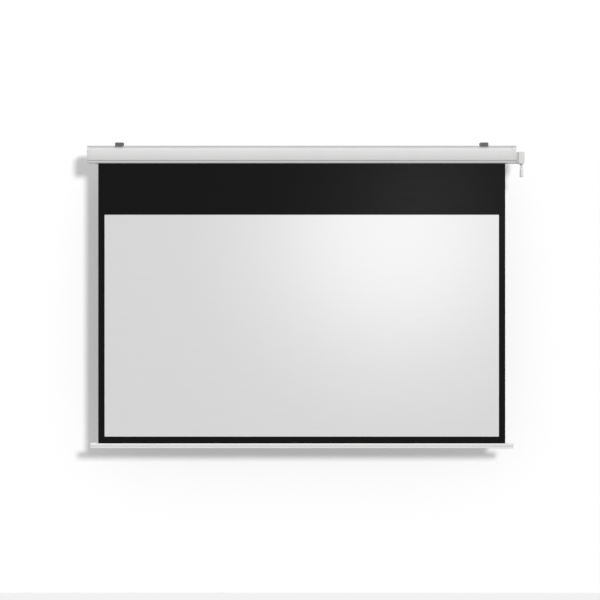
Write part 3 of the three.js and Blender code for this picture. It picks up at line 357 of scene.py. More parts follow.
def skin_finish(name, tone, roughness, scale, depth=3e-5, wear_tone=1.06, dust=0.12, coat=0.0):
    """Paint or moulded plastic: fine grain, an uneven tone, rubbed edges, a little dust on top, painted
    shade in crevices.
    """
    made, w, shader = start_material(name, roughness, coat=coat)
    where = place_vector(w)
    grain = w.effect("grain", Vector=where, Scale=scale)
    wear = w.effect("wear", Vector=where).outputs["Mask"]
    settled = w.effect("dust", Vector=where).outputs["Mask"]
    even = w.tint(grain.outputs["Tone"], shade(tone, 0.97), shade(tone, 1.02))
    rubbed = w.tint(wear, even, shade(tone, wear_tone))
    dusty = w.tint(w.maths("MULTIPLY", settled, dust), rubbed, DUST_COLOUR)
    # Painted shade: darker where the crevice mask finds little light from all round
    crevice = w.maths("MULTIPLY", w.effect("crevice").outputs["Mask"], CREVICE_SHADE_SHARE)
    w.put(shader.inputs["Base Color"], w.tint(crevice, dusty, shade(tone, CREVICE_SHADE_TONE)))
    gloss = w.wander(grain.outputs["Tone"], roughness, 0.05)
    w.put(shader.inputs["Roughness"], w.maths("MULTIPLY_ADD", wear, -0.08, gloss))
    raise_bump(w, shader, grain.outputs["Height"], depth)
    return made


def metal_finish(name, tone, roughness, metallic, scale):
    """Plated, drawn or turned metal: fine lines, blotches in the gloss, brighter edges."""
    made, w, shader = start_material(name, roughness, metallic=metallic)
    where = place_vector(w)
    drawn = w.effect("drawn", Vector=where, Scale=scale)
    grain = w.effect("grain", Vector=where, Scale=scale * 1.6).outputs["Tone"]
    wear = w.effect("wear", Vector=where, Radius=0.0005).outputs["Mask"]
    even = w.tint(grain, shade(tone, 0.9), shade(tone, 1.06))
    lined = w.tint(w.maths("MULTIPLY", drawn.outputs["Mask"], 0.3), even, shade(tone, 0.8))
    w.put(shader.inputs["Base Color"], w.tint(wear, lined, shade(tone, 1.3)))
    w.put(shader.inputs["Roughness"], w.wander(grain, roughness, 0.07))
    raise_bump(w, shader, drawn.outputs["Height"], LINE_DEPTH, strength=0.35)
    return made


def cloth_finish(name, tone, roughness, specular, depth=2e-5, spread=0.015):
    """Coated cloth: the weave shows faintly, and the coating varies slowly down the roll."""
    made, w, shader = start_material(name, roughness, specular=specular)
    flat = w.add("ShaderNodeUVMap", uv_map="UVMap").outputs["UV"]
    weave = w.effect("weave", Vector=flat)
    slubs = weave.outputs["Tone"]
    coating = w.tint(slubs, shade(tone, 1.0 - spread), shade(tone, 1.0 + spread))
    w.put(shader.inputs["Base Color"], coating)
    w.put(shader.inputs["Roughness"], w.wander(slubs, roughness, 0.03))
    raise_bump(w, shader, weave.outputs["Height"], depth, strength=0.4)
    return made


# The node groups by their short names, and the finishes by the record's material slots
EFFECTS = {}
FINISHES = {}


def make_effects():
    EFFECTS.update(
        grain=grain_group(), drawn=drawn_group(), wear=wear_group(), crevice=crevice_group(),
        dust=dust_group(), weave=weave_group(),
    )


def make_finishes():
    tone = colours()
    FINISHES.update(
        case_paint=skin_finish("Powder coat", tone.paint, roughness=0.52, scale=750.0, coat=0.03),
        # Lighter than the case's powder coat, as a painted highlight on the bar
        bar_paint=skin_finish("Bar powder coat painted highlight", tone.bar, roughness=0.5, scale=750.0, coat=0.03),
        cap_plastic=skin_finish(
            "Moulded white", tone.moulding, roughness=0.5, scale=1500.0, depth=2.5e-5
        ),
        gear_plastic=skin_finish("Moulded grey", tone.gear_case, roughness=0.52, scale=1500.0),
        neck_plastic=skin_finish("Moulded neck painted shade", tone.neck, roughness=0.6, scale=1500.0),
        bush_nylon=skin_finish(
            "Black nylon", tone.nylon, roughness=0.55, scale=1200.0, depth=2e-5, wear_tone=1.6,
            dust=0.05,
        ),
        bracket_steel=metal_finish(
            "Dark plated steel", tone.bracket, roughness=0.46, metallic=0.55, scale=420.0
        ),
        bright_steel=metal_finish("Bright zinc", tone.zinc, roughness=0.34, metallic=0.95, scale=620.0),
        bare_aluminium=metal_finish(
            "Drawn aluminium", tone.aluminium, roughness=0.38, metallic=0.95, scale=500.0
        ),
        wheel_bronze=metal_finish("Gear bronze", tone.bronze, roughness=0.4, metallic=0.9, scale=800.0),
        screen_cloth=cloth_finish("Matt white cloth", tone.picture, roughness=0.88, specular=0.3),
        mask_cloth=cloth_finish(
            "Black border coat", tone.border, roughness=0.62, specular=0.08, spread=0.08
        ),
        cloth_back=cloth_finish(
            "Dark cloth backing", tone.backing, roughness=0.8, specular=0.2, depth=4e-5, spread=0.1
        ),
    )


# Modelling helpers


# Points nearer than this are one point, in metres
MERGE_REACH = 0.01 * MILLIMETRE
# A point this near a corner of a section's table is moved with it, in millimetres
CORNER_REACH = 0.12
# Angles between two faces, in degrees: up to the first they become one, past the next their edge is
# rounded, and past the last two it stays sharp in the shading, of a copy and of cloth
LEVEL_ANGLE = 0.5
ROUNDED_ANGLE = 32.0
COPY_ANGLE = 35.0
CLOTH_ANGLE = 40.0
ROUND_SEGMENTS = 2


def set_mode(mode):
    bpy.ops.object.mode_set(mode=mode)


def deselect():
    if bpy.context.mode != "OBJECT":
        set_mode("OBJECT")
    bpy.ops.object.select_all(action="DESELECT")


def activate(piece):
    deselect()
    piece.select_set(True)
    bpy.context.view_layer.objects.active = piece


def added(primitive, **settings):
    """What this operator adds, with nothing else selected."""
    deselect()
    primitive(**settings)
    return bpy.context.active_object


def apply_modifier(piece, kind, **settings):
    """Adds one modifier with these settings and applies it."""
    activate(piece)
    modifier = piece.modifiers.new(kind.title(), kind)
    for key, value in settings.items():
        setattr(modifier, key, value)
    bpy.ops.object.modifier_apply(modifier=modifier.name)


def smooth(piece, degrees, flat=False):
    """Smooth shading up to an angle; flat keeps large faces level where they meet a rounded edge."""
    activate(piece)
    bpy.ops.object.shade_smooth_by_angle(angle=math.radians(degrees))
    if flat:
        apply_modifier(piece, "WEIGHTED_NORMAL", mode="FACE_AREA", weight=100, keep_sharp=True)


def merge(piece):
    """Makes one point of points that fall together, and leaves all of them selected."""
    activate(piece)
    set_mode("EDIT")
    bpy.ops.mesh.select_all(action="SELECT")
    bpy.ops.mesh.remove_doubles(threshold=MERGE_REACH)
    set_mode("OBJECT")


def select_faces(piece, wanted):
    """Leaves the piece in edit mode with only the faces that wanted(centre, normal) names selected."""
    activate(piece)
    set_mode("EDIT")
    bpy.ops.mesh.select_mode(type="FACE")
    bpy.ops.mesh.select_all(action="DESELECT")
    set_mode("OBJECT")
    chosen = [face for face in piece.data.polygons if wanted(face.center, face.normal)]
    if not chosen:
        raise RuntimeError(f"no face to select on {piece.name}")
    for face in chosen:
        face.select = True
    set_mode("EDIT")


def finish_piece(piece, name, body, slot, *nodes, finish=None):
    """Names a piece, gives it a finish unless that is False, and its body in place of CAD nodes."""
    piece.name = piece.data.name = name
    if finish is not False:
        piece.data.materials.clear()
        piece.data.materials.append(FINISHES[finish or slot])
    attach(piece, body)
    if nodes:
        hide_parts(*nodes)
    return piece


def body_of(node):
    return frame["nodes"][node]["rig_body"]


def slot_of(node):
    return frame["nodes"][node].data.materials[0].name.split(".")[0]


NODE_SLOTS = {name: slot_of(name) for name in frame["nodes"]}


def moved(place, moves):
    """The place that moves gives this point of a section; both sides are (y, z) in millimetres."""
    for (y, z), (new_y, new_z) in moves:
        off_y, off_z = abs(place.y / MILLIMETRE - y), abs(place.z / MILLIMETRE - z)
        if off_y < CORNER_REACH and off_z < CORNER_REACH:
            return Vector((place.x, new_y * MILLIMETRE, new_z * MILLIMETRE))
    return place


def cut(piece, cutter, operation="DIFFERENCE"):
    """Cuts the cutter from the piece, or joins it with UNION, and removes it."""
    apply_modifier(piece, "BOOLEAN", operation=operation, solver="EXACT", object=cutter)
    bpy.data.objects.remove(cutter)


def rounded_copy(node, name, radius, shaped=None, cutter=None, finish=None):
    """A copy of a CAD node: merged, moved point by point by shaped(place), cut, its edges rounded."""
    activate(frame["nodes"][node])
    bpy.ops.object.duplicate(linked=False)
    piece = bpy.context.active_object
    piece.parent = None
    # What marks the CAD node comes off its copy
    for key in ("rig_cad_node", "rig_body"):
        del piece[key]
    bpy.ops.mesh.customdata_custom_splitnormals_clear()
    merge(piece)
    set_mode("EDIT")
    bpy.ops.mesh.dissolve_limited(angle_limit=math.radians(LEVEL_ANGLE))
    set_mode("OBJECT")
    if shaped:
        for point in piece.data.vertices:
            point.co = shaped(point.co)
        merge(piece)
    if cutter:
        cut(piece, cutter)
    if radius > 0:
        apply_modifier(
            piece, "BEVEL", width=radius, segments=ROUND_SEGMENTS, limit_method="ANGLE",
            angle_limit=math.radians(ROUNDED_ANGLE), miter_outer="MITER_ARC", harden_normals=False,
        )
    smooth(piece, COPY_ANGLE, flat=True)
    return finish_piece(piece, name, body_of(node), NODE_SLOTS[node], node, finish=finish)


# Operators


class SCREEN_OT_finishes(Operator):
    """Make every finish and give the carried-over pieces theirs"""

    bl_idname = "screen.finishes"
    bl_label = "Finishes"

    def execute(self, context):
        make_effects()
        make_finishes()
        for name, node in frame["nodes"].items():
            node.data.materials[0] = FINISHES[NODE_SLOTS[name]]
        return {"FINISHED"}


# Corners of the sections, as (y, z) in millimetres, and where the dressed copies have them: the groove
# along the top of the case, the crease at its foot, and the upper front edge of the bar
GROOVE_MOVES = (
    ((-83.0, -3.4), (-84.9, -3.4)),
    ((-83.0, -7.8), (-81.9, -10.8)),
    ((-81.2, -11.0), (-80.2, -12.4)),
    ((-87.0, -7.8), (-87.6, -17.0)),
    ((-87.0, -11.0), (-88.4, -18.0)),
    ((-88.0, -11.0), (-88.9, -18.6)),
    ((-86.2, -12.8), (-84.6, -15.5)),
)
CREASE_MOVES = (
    ((-85.0, -67.0), (-85.2, -66.4)),
    ((-81.5, -67.0), (-80.4, -66.4)),
    ((-81.5, -70.0), (-80.4, -70.7)),
    ((-85.0, -70.0), (-85.0, -70.7)),
)
BAR_MOVES = (
    ((-86.95, -1357.5), (-86.4, -1359.8)),
    ((-80.35, -1357.5), (-80.35, -1359.8)),
    ((-78.75, -1357.5), (-78.75, -1359.8)),
    ((-84.35, -1359.1), (-84.2, -1361.3)),
    ((-80.35, -1359.1), (-80.35, -1361.3)),
    ((-79.33, -1359.1), (-79.33, -1361.3)),
    ((-87.84, -1360.0), (-87.7, -1361.4)),
)
# The groove's section on the caps: (y, z) in millimetres by (behind, above)
CAP_GROOVE = {
    (False, True): (-92.0, -3.4),
    (True, True): (-84.9, -3.4),
    (True, False): (-84.2, -10.8),
    (False, False): (-92.0, -20.8),
}
# Where the case ends under its caps, and a place past the end of a cap, from the middle
CAP_JOINT = 0.9615
CAP_PAST = 0.985
# The foot of the crease, the front of the cloth slot, how far behind it a point may lie and still be
# of the lip, and the heights of the caps' lip and the case's
CREASE_LOW = -0.0701
SLOT_FRONT = -0.0797
SLOT_SLACK = 0.02 * MILLIMETRE
LIP_HEIGHT = 0.0119
SHORT_LIP = 0.0102
# How the lip curves: the powers of its share of the way down that lead it back and down
LIP_BACK_POWER = 3
LIP_DOWN_POWER = 1.6


class SCREEN_OT_case(Operator):
    """Round the edges of the painted case and its moulded ends"""

    bl_idname = "screen.case"
    bl_label = "Case and end caps"

    def execute(self, context):
        rounded_copy("case_profile", "case_extrusion", sizes().edge_round, shaped=self.case_section)
        for side, sign in (("left", -1.0), ("right", 1.0)):
            rounded_copy(
                f"end_cap_{side}", f"end_cap_{side}_moulding", sizes().moulded_round,
                shaped=self.lip_section, cutter=self.groove_cutter(sign),
            )
        return {"FINISHED"}

    def groove_cutter(self, sign):
        """A bar with the groove's section, from the end of the case to past the end of its cap."""
        low, high = sorted((sign * CAP_JOINT, sign * CAP_PAST))
        cutter = added(bpy.ops.mesh.primitive_cube_add, size=1.0)
        for point in cutter.data.vertices:
            y, z = CAP_GROOVE[point.co.y > 0, point.co.z > 0]
            point.co = (high if point.co.x > 0 else low, y * MILLIMETRE, z * MILLIMETRE)
        return cutter

    def case_section(self, place):
        """An open groove along the top of the front, and a lip shorter than the caps'."""
        return self.lip_section(moved(place, GROOVE_MOVES), SHORT_LIP)

    def lip_section(self, place, height=LIP_HEIGHT):
        """A deep crease along the foot of the front, and below it a lip that curves to the slot."""
        x, y, z = place
        if y > SLOT_FRONT + SLOT_SLACK or z > CREASE_LOW:
            return moved(place, CREASE_MOVES)
        down = (CREASE_LOW - z) / LIP_HEIGHT
        back = SLOT_FRONT + (y - SLOT_FRONT) * (1.0 - down**LIP_BACK_POWER)
        return Vector((x, back, CREASE_LOW - height * down**LIP_DOWN_POWER))


# Where the gear case's neck ends, from the middle of the screen; up to it the faces are darker as
# painted shade
NECK_END = 0.9899


class SCREEN_OT_gear_case(Operator):
    """Round the edges of the gear case, and of the joint and eye below it"""

    bl_idname = "screen.gear_case"
    bl_label = "Gear case and crank eye"

    def execute(self, context):
        for node in ("gear_housing", "gear_cover", "crank_eye"):
            rounded_copy(node, f"{node}_moulding", sizes().moulded_round)
        housing = bpy.data.objects["gear_housing_moulding"]
        # The neck's faces take a darker finish: painted shade of the recessed joint
        housing.data.materials.append(FINISHES["neck_plastic"])
        for face in housing.data.polygons:
            if face.center.x < NECK_END:
                face.material_index = 1
        for node in ("worm_bush", "joint_cross", "worm_shaft"):
            rounded_copy(node, f"{node}_turned", 0.0)
        return {"FINISHED"}


class SCREEN_OT_bar(Operator):
    """Round the edges of the weight bar and its end caps"""

    bl_idname = "screen.bar"
    bl_label = "Weight bar"

    def execute(self, context):
        rounded_copy(
            "bottom_bar", "weight_bar_extrusion", sizes().edge_round,
            shaped=lambda place: moved(place, BAR_MOVES), finish="bar_paint",
        )
        for side in ("left", "right"):
            rounded_copy(
                f"bar_cap_{side}", f"bar_cap_{side}_moulding", sizes().moulded_round,
                finish="bar_paint",
            )
        return {"FINISHED"}


# Heights of the jaw's hook and top, and the share of its plate below the hook that stays
JAW_HOOK = -0.0038
JAW_TOP = 0.0114
JAW_PLATE_SHARE = 0.21


class SCREEN_OT_brackets(Operator):
    """Round the edges of the brackets, their jaws and nuts"""

    bl_idname = "screen.brackets"
    bl_label = "Brackets"

    def execute(self, context):
        for side in ("left", "right"):
            for node in (f"bracket_{side}", f"jaw_nut_{side}"):
                rounded_copy(node, f"{node}_plated", sizes().edge_round)
            jaw = f"bracket_jaw_{side}"
            rounded_copy(jaw, f"{jaw}_plated", sizes().edge_round, shaped=self.short_jaw)
        return {"FINISHED"}

    def short_jaw(self, place):
        """A jaw whose plate ends just below its hook, and a little below the bracket's top."""
        x, y, z = place
        if z < JAW_HOOK:
            z = JAW_HOOK + (z - JAW_HOOK) * JAW_PLATE_SHARE
        return Vector((x, y, min(z, JAW_TOP)))


# Kinds of screw, by how their nodes' names start: shank radius, head height, and if it has a socket
SCREW_KINDS = {
    "cap_screw_": (0.0020, 0.0024, False),
    "gear_screw_": (0.0015, 0.0020, False),
    "jaw_screw_": (0.0025, 0.0028, True),
}
SCREW_TWIST = math.radians(37)
SCREW_SIDES = 32
SCREW_ANGLE = 34.0
# Rounding of the shank's tip as a share of its radius, and of the crown as a share of the head's height
TIP_SHARE = 0.4
SOCKET_CROWN_SHARE = 0.28
CROSS_CROWN_SHARE = 0.62
# The recess: its depth as a share of the head's height, the rest as shares of the head's radius
RECESS_SHARE = 0.62
SOCKET_SHARE = 0.55
ARM_LENGTH_SHARE = 1.25
ARM_WIDTH_SHARE = 0.26
ARM_FOOT_SHARES = (0.45, 0.6, 1.0)
# The upright part of a normal, past which its face counts as level
LEVEL = 0.9


class SCREEN_OT_screws(Operator):
    """Model the cross-recess screws of the caps and gear case, and the socket screws of the jaws"""

    bl_idname = "screen.screws"
    bl_label = "Screws"

    def execute(self, context):
        for start, (shank, head_height, socket) in SCREW_KINDS.items():
            nodes = [name for name in frame["nodes"] if name.startswith(start)]
            self.set_of(nodes, shank, head_height, socket)
        return {"FINISHED"}

    def set_of(self, nodes, shank, head_height, socket):
        """One screw modelled along Z with its head up, then a copy of its own for each node.

        The screws along X face away from the middle of the screen, those along Y face the front.
        """
        low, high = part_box(nodes[0])
        sides = high - low
        long_way = 0 if sides.x > sides.y else 1
        head = sides.z / 2
        first = self.screw(head, head_height, shank, sides[long_way] - head_height, socket)
        for index, name in enumerate(nodes):
            low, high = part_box(name)
            middle = (low + high) / 2
            outwards = 1.0 if long_way == 0 and middle.x > 0 else -1.0
            tip = high[long_way] if outwards > 0 else low[long_way]
            direction = Vector((0, 0, 0))
            direction[long_way] = outwards
            turn = direction.to_track_quat("Z", "Y").to_matrix().to_4x4()
            middle[long_way] = tip - outwards * head_height
            twist = Matrix.Rotation(SCREW_TWIST * index, 4, "Z")
            piece = first.copy()
            piece.data = first.data.copy()
            bpy.context.scene.collection.objects.link(piece)
            piece.data.transform(Matrix.Translation(middle) @ turn @ twist)
            finish_piece(piece, f"{name}_modelled", body_of(name), NODE_SLOTS[name], name)
        bpy.data.objects.remove(first)

    def screw(self, head, head_height, shank, length, socket):
        """A head on z = 0 with a domed or rounded crown and a recess, and a shank below it."""
        piece = added(
            bpy.ops.mesh.primitive_cylinder_add, vertices=SCREW_SIDES, radius=head, depth=head_height,
            location=(0, 0, head_height / 2),
        )
        bpy.ops.object.transform_apply(location=True, rotation=True, scale=True)
        select_faces(piece, lambda c, n: n.z < -LEVEL)
        bpy.ops.mesh.inset(thickness=head - shank)
        bpy.ops.mesh.extrude_region_move(TRANSFORM_OT_translate={"value": (0, 0, -length)})
        bpy.ops.mesh.bevel(offset=TIP_SHARE * shank, segments=2)
        select_faces(piece, lambda c, n: n.z > LEVEL)
        crown = SOCKET_CROWN_SHARE if socket else CROSS_CROWN_SHARE
        bpy.ops.mesh.bevel(offset=crown * head_height, segments=4, profile=0.5)
        set_mode("OBJECT")
        cut(piece, self.recess(head, head_height, socket))
        smooth(piece, SCREW_ANGLE)
        return piece

    def recess(self, head, head_height, socket):
        """What is cut from the crown: a six-sided hole, or a cross whose arms narrow downwards."""
        depth = RECESS_SHARE * head_height
        if socket:
            return added(
                bpy.ops.mesh.primitive_cylinder_add, vertices=6, radius=SOCKET_SHARE * head,
                depth=2 * depth, location=(0, 0, head_height),
            )
        arms = []
        for quarter in (0.0, math.pi / 2):
            arm = added(bpy.ops.mesh.primitive_cube_add, size=1.0)
            size = (ARM_LENGTH_SHARE * head, ARM_WIDTH_SHARE * head, 2 * depth)
            arm.data.transform(Matrix.Diagonal((*size, 1.0)))
            select_faces(arm, lambda c, n: n.z < -LEVEL)
            bpy.ops.transform.resize(value=ARM_FOOT_SHARES)
            set_mode("OBJECT")
            arm.data.transform(Matrix.Rotation(quarter, 4, "Z"))
            arm.data.transform(Matrix.Translation((0, 0, head_height)))
            arms.append(arm)
        cut(arms[0], arms[1], "UNION")
        return arms[0]


# The picture on the cloth: half its width, and the heights of its top and foot
PICTURE_HALF = 0.9
PICTURE_TOP = -0.316
PICTURE_FOOT = -1.3285
CLOTH_THICKNESS = 0.5 * MILLIMETRE
COAT_THICKNESS = 0.2 * MILLIMETRE
# Between the cloth and the rod or tube that it goes round
WRAP_GAP = 0.3 * MILLIMETRE
# The loop round the rod: where it starts and ends, in degrees, how far above the rod it closes, as a
# share of its radius, and how far behind the face it is welded, as a share of the cloth's thickness
LOOP_START, LOOP_END = 150, 410
LOOP_STEPS = 16
LOOP_NECK_SHARE = 1.6
WELD_SHARE = 1.1
# The curl of the side edges: the share of the drop that has it, how it dies away inwards, its waves
CURLED_SHARE = 0.75
CURL_POWER = 6
WAVE_TURN = 9.0
WAVE_SHIFT = 2.0
# The cloth that stays on the roller
WOUND_TURNS = 1.5
WOUND_STEPS = 108
WOUND_COLUMNS = 8


def even_steps(start, end, count):
    return [start + (end - start) * i / count for i in range(count + 1)]


class HungCloth:
    """Where the cloth hangs: its edges and planes from the CAD nodes, and its way round the rod."""

    def __init__(self):
        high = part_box("screen_fabric")[1]
        rod_low, rod_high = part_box("hem_rod")
        self.half, self.top = high.x, high.z
        self.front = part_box("black_masking")[1].y
        self.middle = self.front + CLOTH_THICKNESS / 2
        self.rod = (rod_low + rod_high) / 2
        self.loop_radius = (rod_high.z - rod_low.z) / 2 + WRAP_GAP + CLOTH_THICKNESS / 2
        self.loop = self.loop_path()
        self.foot = self.loop[0][1]
        self.drop = self.top - PICTURE_FOOT
        across = even_steps(-PICTURE_HALF, PICTURE_HALF, sizes().cloth_columns)
        self.columns = [-self.half, *across, self.half]

    def loop_path(self):
        """The cloth's middle from above the rod, round it and back up to the weld, as (y, z)."""
        rod, radius = self.rod, self.loop_radius
        neck = rod.z + LOOP_NECK_SHARE * radius
        weld = self.middle + CLOTH_THICKNESS * WELD_SHARE
        points = [(self.middle, neck)]
        for angle in even_steps(math.radians(LOOP_START), math.radians(LOOP_END), LOOP_STEPS):
            points.append((rod.y + radius * math.cos(angle), rod.z + radius * math.sin(angle)))
        return [*points, (weld, neck), (weld, neck + sizes().seam_height)]

    def drop_lines(self):
        """Heights down the cloth to the foot of the picture, with a line at its top."""
        heights = [self.top]
        for upper, lower in ((self.top, PICTURE_TOP), (PICTURE_TOP, PICTURE_FOOT)):
            count = max(1, round(sizes().cloth_rows * (upper - lower) / self.drop))
            heights += even_steps(upper, lower, count)[1:]
        return heights

    def ripple(self, x, z):
        """How far the cloth strays backwards: a slight curl near its side edges, none by the hem."""
        down = (self.top - z) / (self.top - self.foot) / CURLED_SHARE
        if not 0 < down < 1:
            return 0.0
        edge = (abs(x) / self.half) ** CURL_POWER
        belly = math.sin(math.pi * down)
        wave = 0.5 + 0.5 * math.sin(WAVE_TURN * down + WAVE_SHIFT * math.copysign(1.0, x))
        return sizes().cloth_ripple * belly * edge * wave


def grid_piece(columns, rows, place):
    """A grid whose point (column, row) goes to place(column, row), its UV map in metres of cloth."""
    across, down = len(columns) - 1, len(rows) - 1
    piece = added(
        bpy.ops.mesh.primitive_grid_add, x_subdivisions=across, y_subdivisions=down, size=1.0
    )
    flat = {}
    for v in piece.data.vertices:
        column = columns[round((v.co.x + 0.5) * across)]
        row = rows[round((0.5 - v.co.y) * down)]
        flat[v.index] = (column, -row)
        v.co = place(column, row)
    layer = piece.data.uv_layers["UVMap"].data
    for loop in piece.data.loops:
        layer[loop.index].uv = flat[loop.vertex_index]
    return piece


def path_piece(columns, path, start=0.0):
    """Cloth that follows a path of (y, z) points, start metres down the roll, and its length."""
    rows = [start]
    for (y0, z0), (y1, z1) in zip(path, path[1:]):
        rows.append(rows[-1] + math.hypot(y1 - y0, z1 - z0))
    by_row = dict(zip(rows, path))
    return grid_piece(columns, rows, lambda x, s: (x, *by_row[s])), rows[-1] - start


class SCREEN_OT_cloth(Operator):
    """Hang the cloth from the roller to the hem rod, with its black border, and wind the spare turns"""

    bl_idname = "screen.cloth"
    bl_label = "Cloth"

    def execute(self, context):
        cloth = HungCloth()
        top, drop = cloth.top, cloth.drop
        drops = cloth.drop_lines()

        def hang(x, s):
            return (x, cloth.middle + cloth.ripple(x, top - s), top - s)

        sheet = grid_piece(cloth.columns, [top - z for z in drops], hang)
        self.thicken(sheet, CLOTH_THICKNESS, backed=True)
        finish_piece(sheet, "screen_sheet", "housing", "screen_cloth", "screen_fabric", finish=False)
        border = self.border(cloth, drops)
        finish_piece(border, "black_border", "housing", "mask_cloth", "black_masking")
        for piece in (sheet, border):
            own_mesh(piece)
        self.hem(cloth)
        self.wind(cloth.half)
        return {"FINISHED"}

    def hem(self, cloth):
        """The foot of the cloth and its loop round the rod, which move with the bar."""
        path = [(cloth.middle, PICTURE_FOOT), *cloth.loop]
        strip, length = path_piece(cloth.columns, path, start=cloth.drop)
        self.thicken(strip, CLOTH_THICKNESS, backed=True)
        finish_piece(strip, "hem_strip", body_of("bottom_bar"), "screen_cloth", finish=False)
        coat = self.border(cloth, [PICTURE_FOOT, cloth.foot])
        finish_piece(coat, "foot_border", body_of("bottom_bar"), "mask_cloth")

    def thicken(self, piece, thickness, backed):
        """Gives flat cloth its thickness, its face to the front and, if backed, the dark backing."""
        piece.data.materials.clear()
        piece.data.materials.append(FINISHES["screen_cloth"])
        if backed:
            piece.data.materials.append(FINISHES["cloth_back"])
        activate(piece)
        set_mode("EDIT")
        bpy.ops.mesh.select_all(action="SELECT")
        bpy.ops.mesh.normals_make_consistent(inside=False)
        set_mode("OBJECT")
        foremost = min(piece.data.polygons, key=lambda face: face.center.y)
        if foremost.normal.y > 0:
            piece.data.flip_normals()
        apply_modifier(
            piece, "SOLIDIFY", thickness=thickness, offset=0.0,
            material_offset=int(backed), material_offset_rim=int(backed),
        )
        smooth(piece, CLOTH_ANGLE)

    def border(self, cloth, drops):
        """A part of the black coat on the cloth's face, open over the picture."""

        def lay(x, s):
            z = cloth.top - s
            return (x, cloth.front - COAT_THICKNESS / 2 + cloth.ripple(x, z), z)

        border = grid_piece(cloth.columns, [cloth.top - z for z in drops], lay)
        if drops[0] > PICTURE_TOP:
            select_faces(
                border, lambda c, n: abs(c.x) < PICTURE_HALF and PICTURE_FOOT < c.z < PICTURE_TOP
            )
            bpy.ops.mesh.delete(type="FACE")
            set_mode("OBJECT")
        self.thicken(border, COAT_THICKNESS, backed=False)
        return border

    def wind(self, half):
        """The turns of cloth that stay on the roller."""
        tube_low, tube_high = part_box("roller_tube")
        axis = (tube_low + tube_high) / 2
        outer = axis.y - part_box("fabric_wrap")[0].y - CLOTH_THICKNESS / 2
        inner = tube_high.z - axis.z + WRAP_GAP + CLOTH_THICKNESS / 2
        path = []
        for part in even_steps(0.0, 1.0, WOUND_STEPS):
            angle = math.pi - 2 * math.pi * WOUND_TURNS * (1 - part)
            radius = inner + (outer - inner) * part
            path.append((axis.y + radius * math.cos(angle), axis.z + radius * math.sin(angle)))
        turns, length = path_piece(even_steps(-half, half, WOUND_COLUMNS), path)
        apply_modifier(turns, "SOLIDIFY", thickness=CLOTH_THICKNESS, offset=0.0)
        smooth(turns, CLOTH_ANGLE)
        finish_piece(turns, "wound_cloth", "roller", "mask_cloth", "fabric_wrap")


# Width and height of the wall and the floor, and how light they are
WALL_SIZE = (12.0, 6.0)
FLOOR_SIZE = (24.0, 24.0)
WALL_TONE = (0.52, 0.52, 0.52)
FLOOR_TONE = (0.32, 0.32, 0.32)
# The way from the screen to each of the two suns, how wide it looks, in degrees, and how many ways
# off its lamp stands
KEY_WAY = Vector((0.70, -1.0, 0.50))
KEY_WIDTH = 14
WALL_SUN_WAY = Vector((0.31, -1.0, 0.239))
WALL_SUN_WIDTH = 8.5
SUN_AWAY = 5
# Place and target of each spot before the cloth, their cone in degrees and their softness
GLOW_PLACES = ((0.45, -0.98, -0.38), (0.44, -0.08, -0.39))
SHEEN_PLACES = ((0.60, -0.67, -0.25), (0.60, -0.08, -0.25))
SPOT_CONE = 114
SPOT_RADIUS = 0.15
# The lamp behind the screen, for views of its back: its place, side and level
FILL_PLACE = Vector((-1.6, 3.4, 0.9))
FILL_SIDE = 2.4
FILL_LEVEL = 0.5
# The camera's sensor, in millimetres, and how far it sees
SENSOR_WIDTH = 36.0
VIEW_END = 100.0


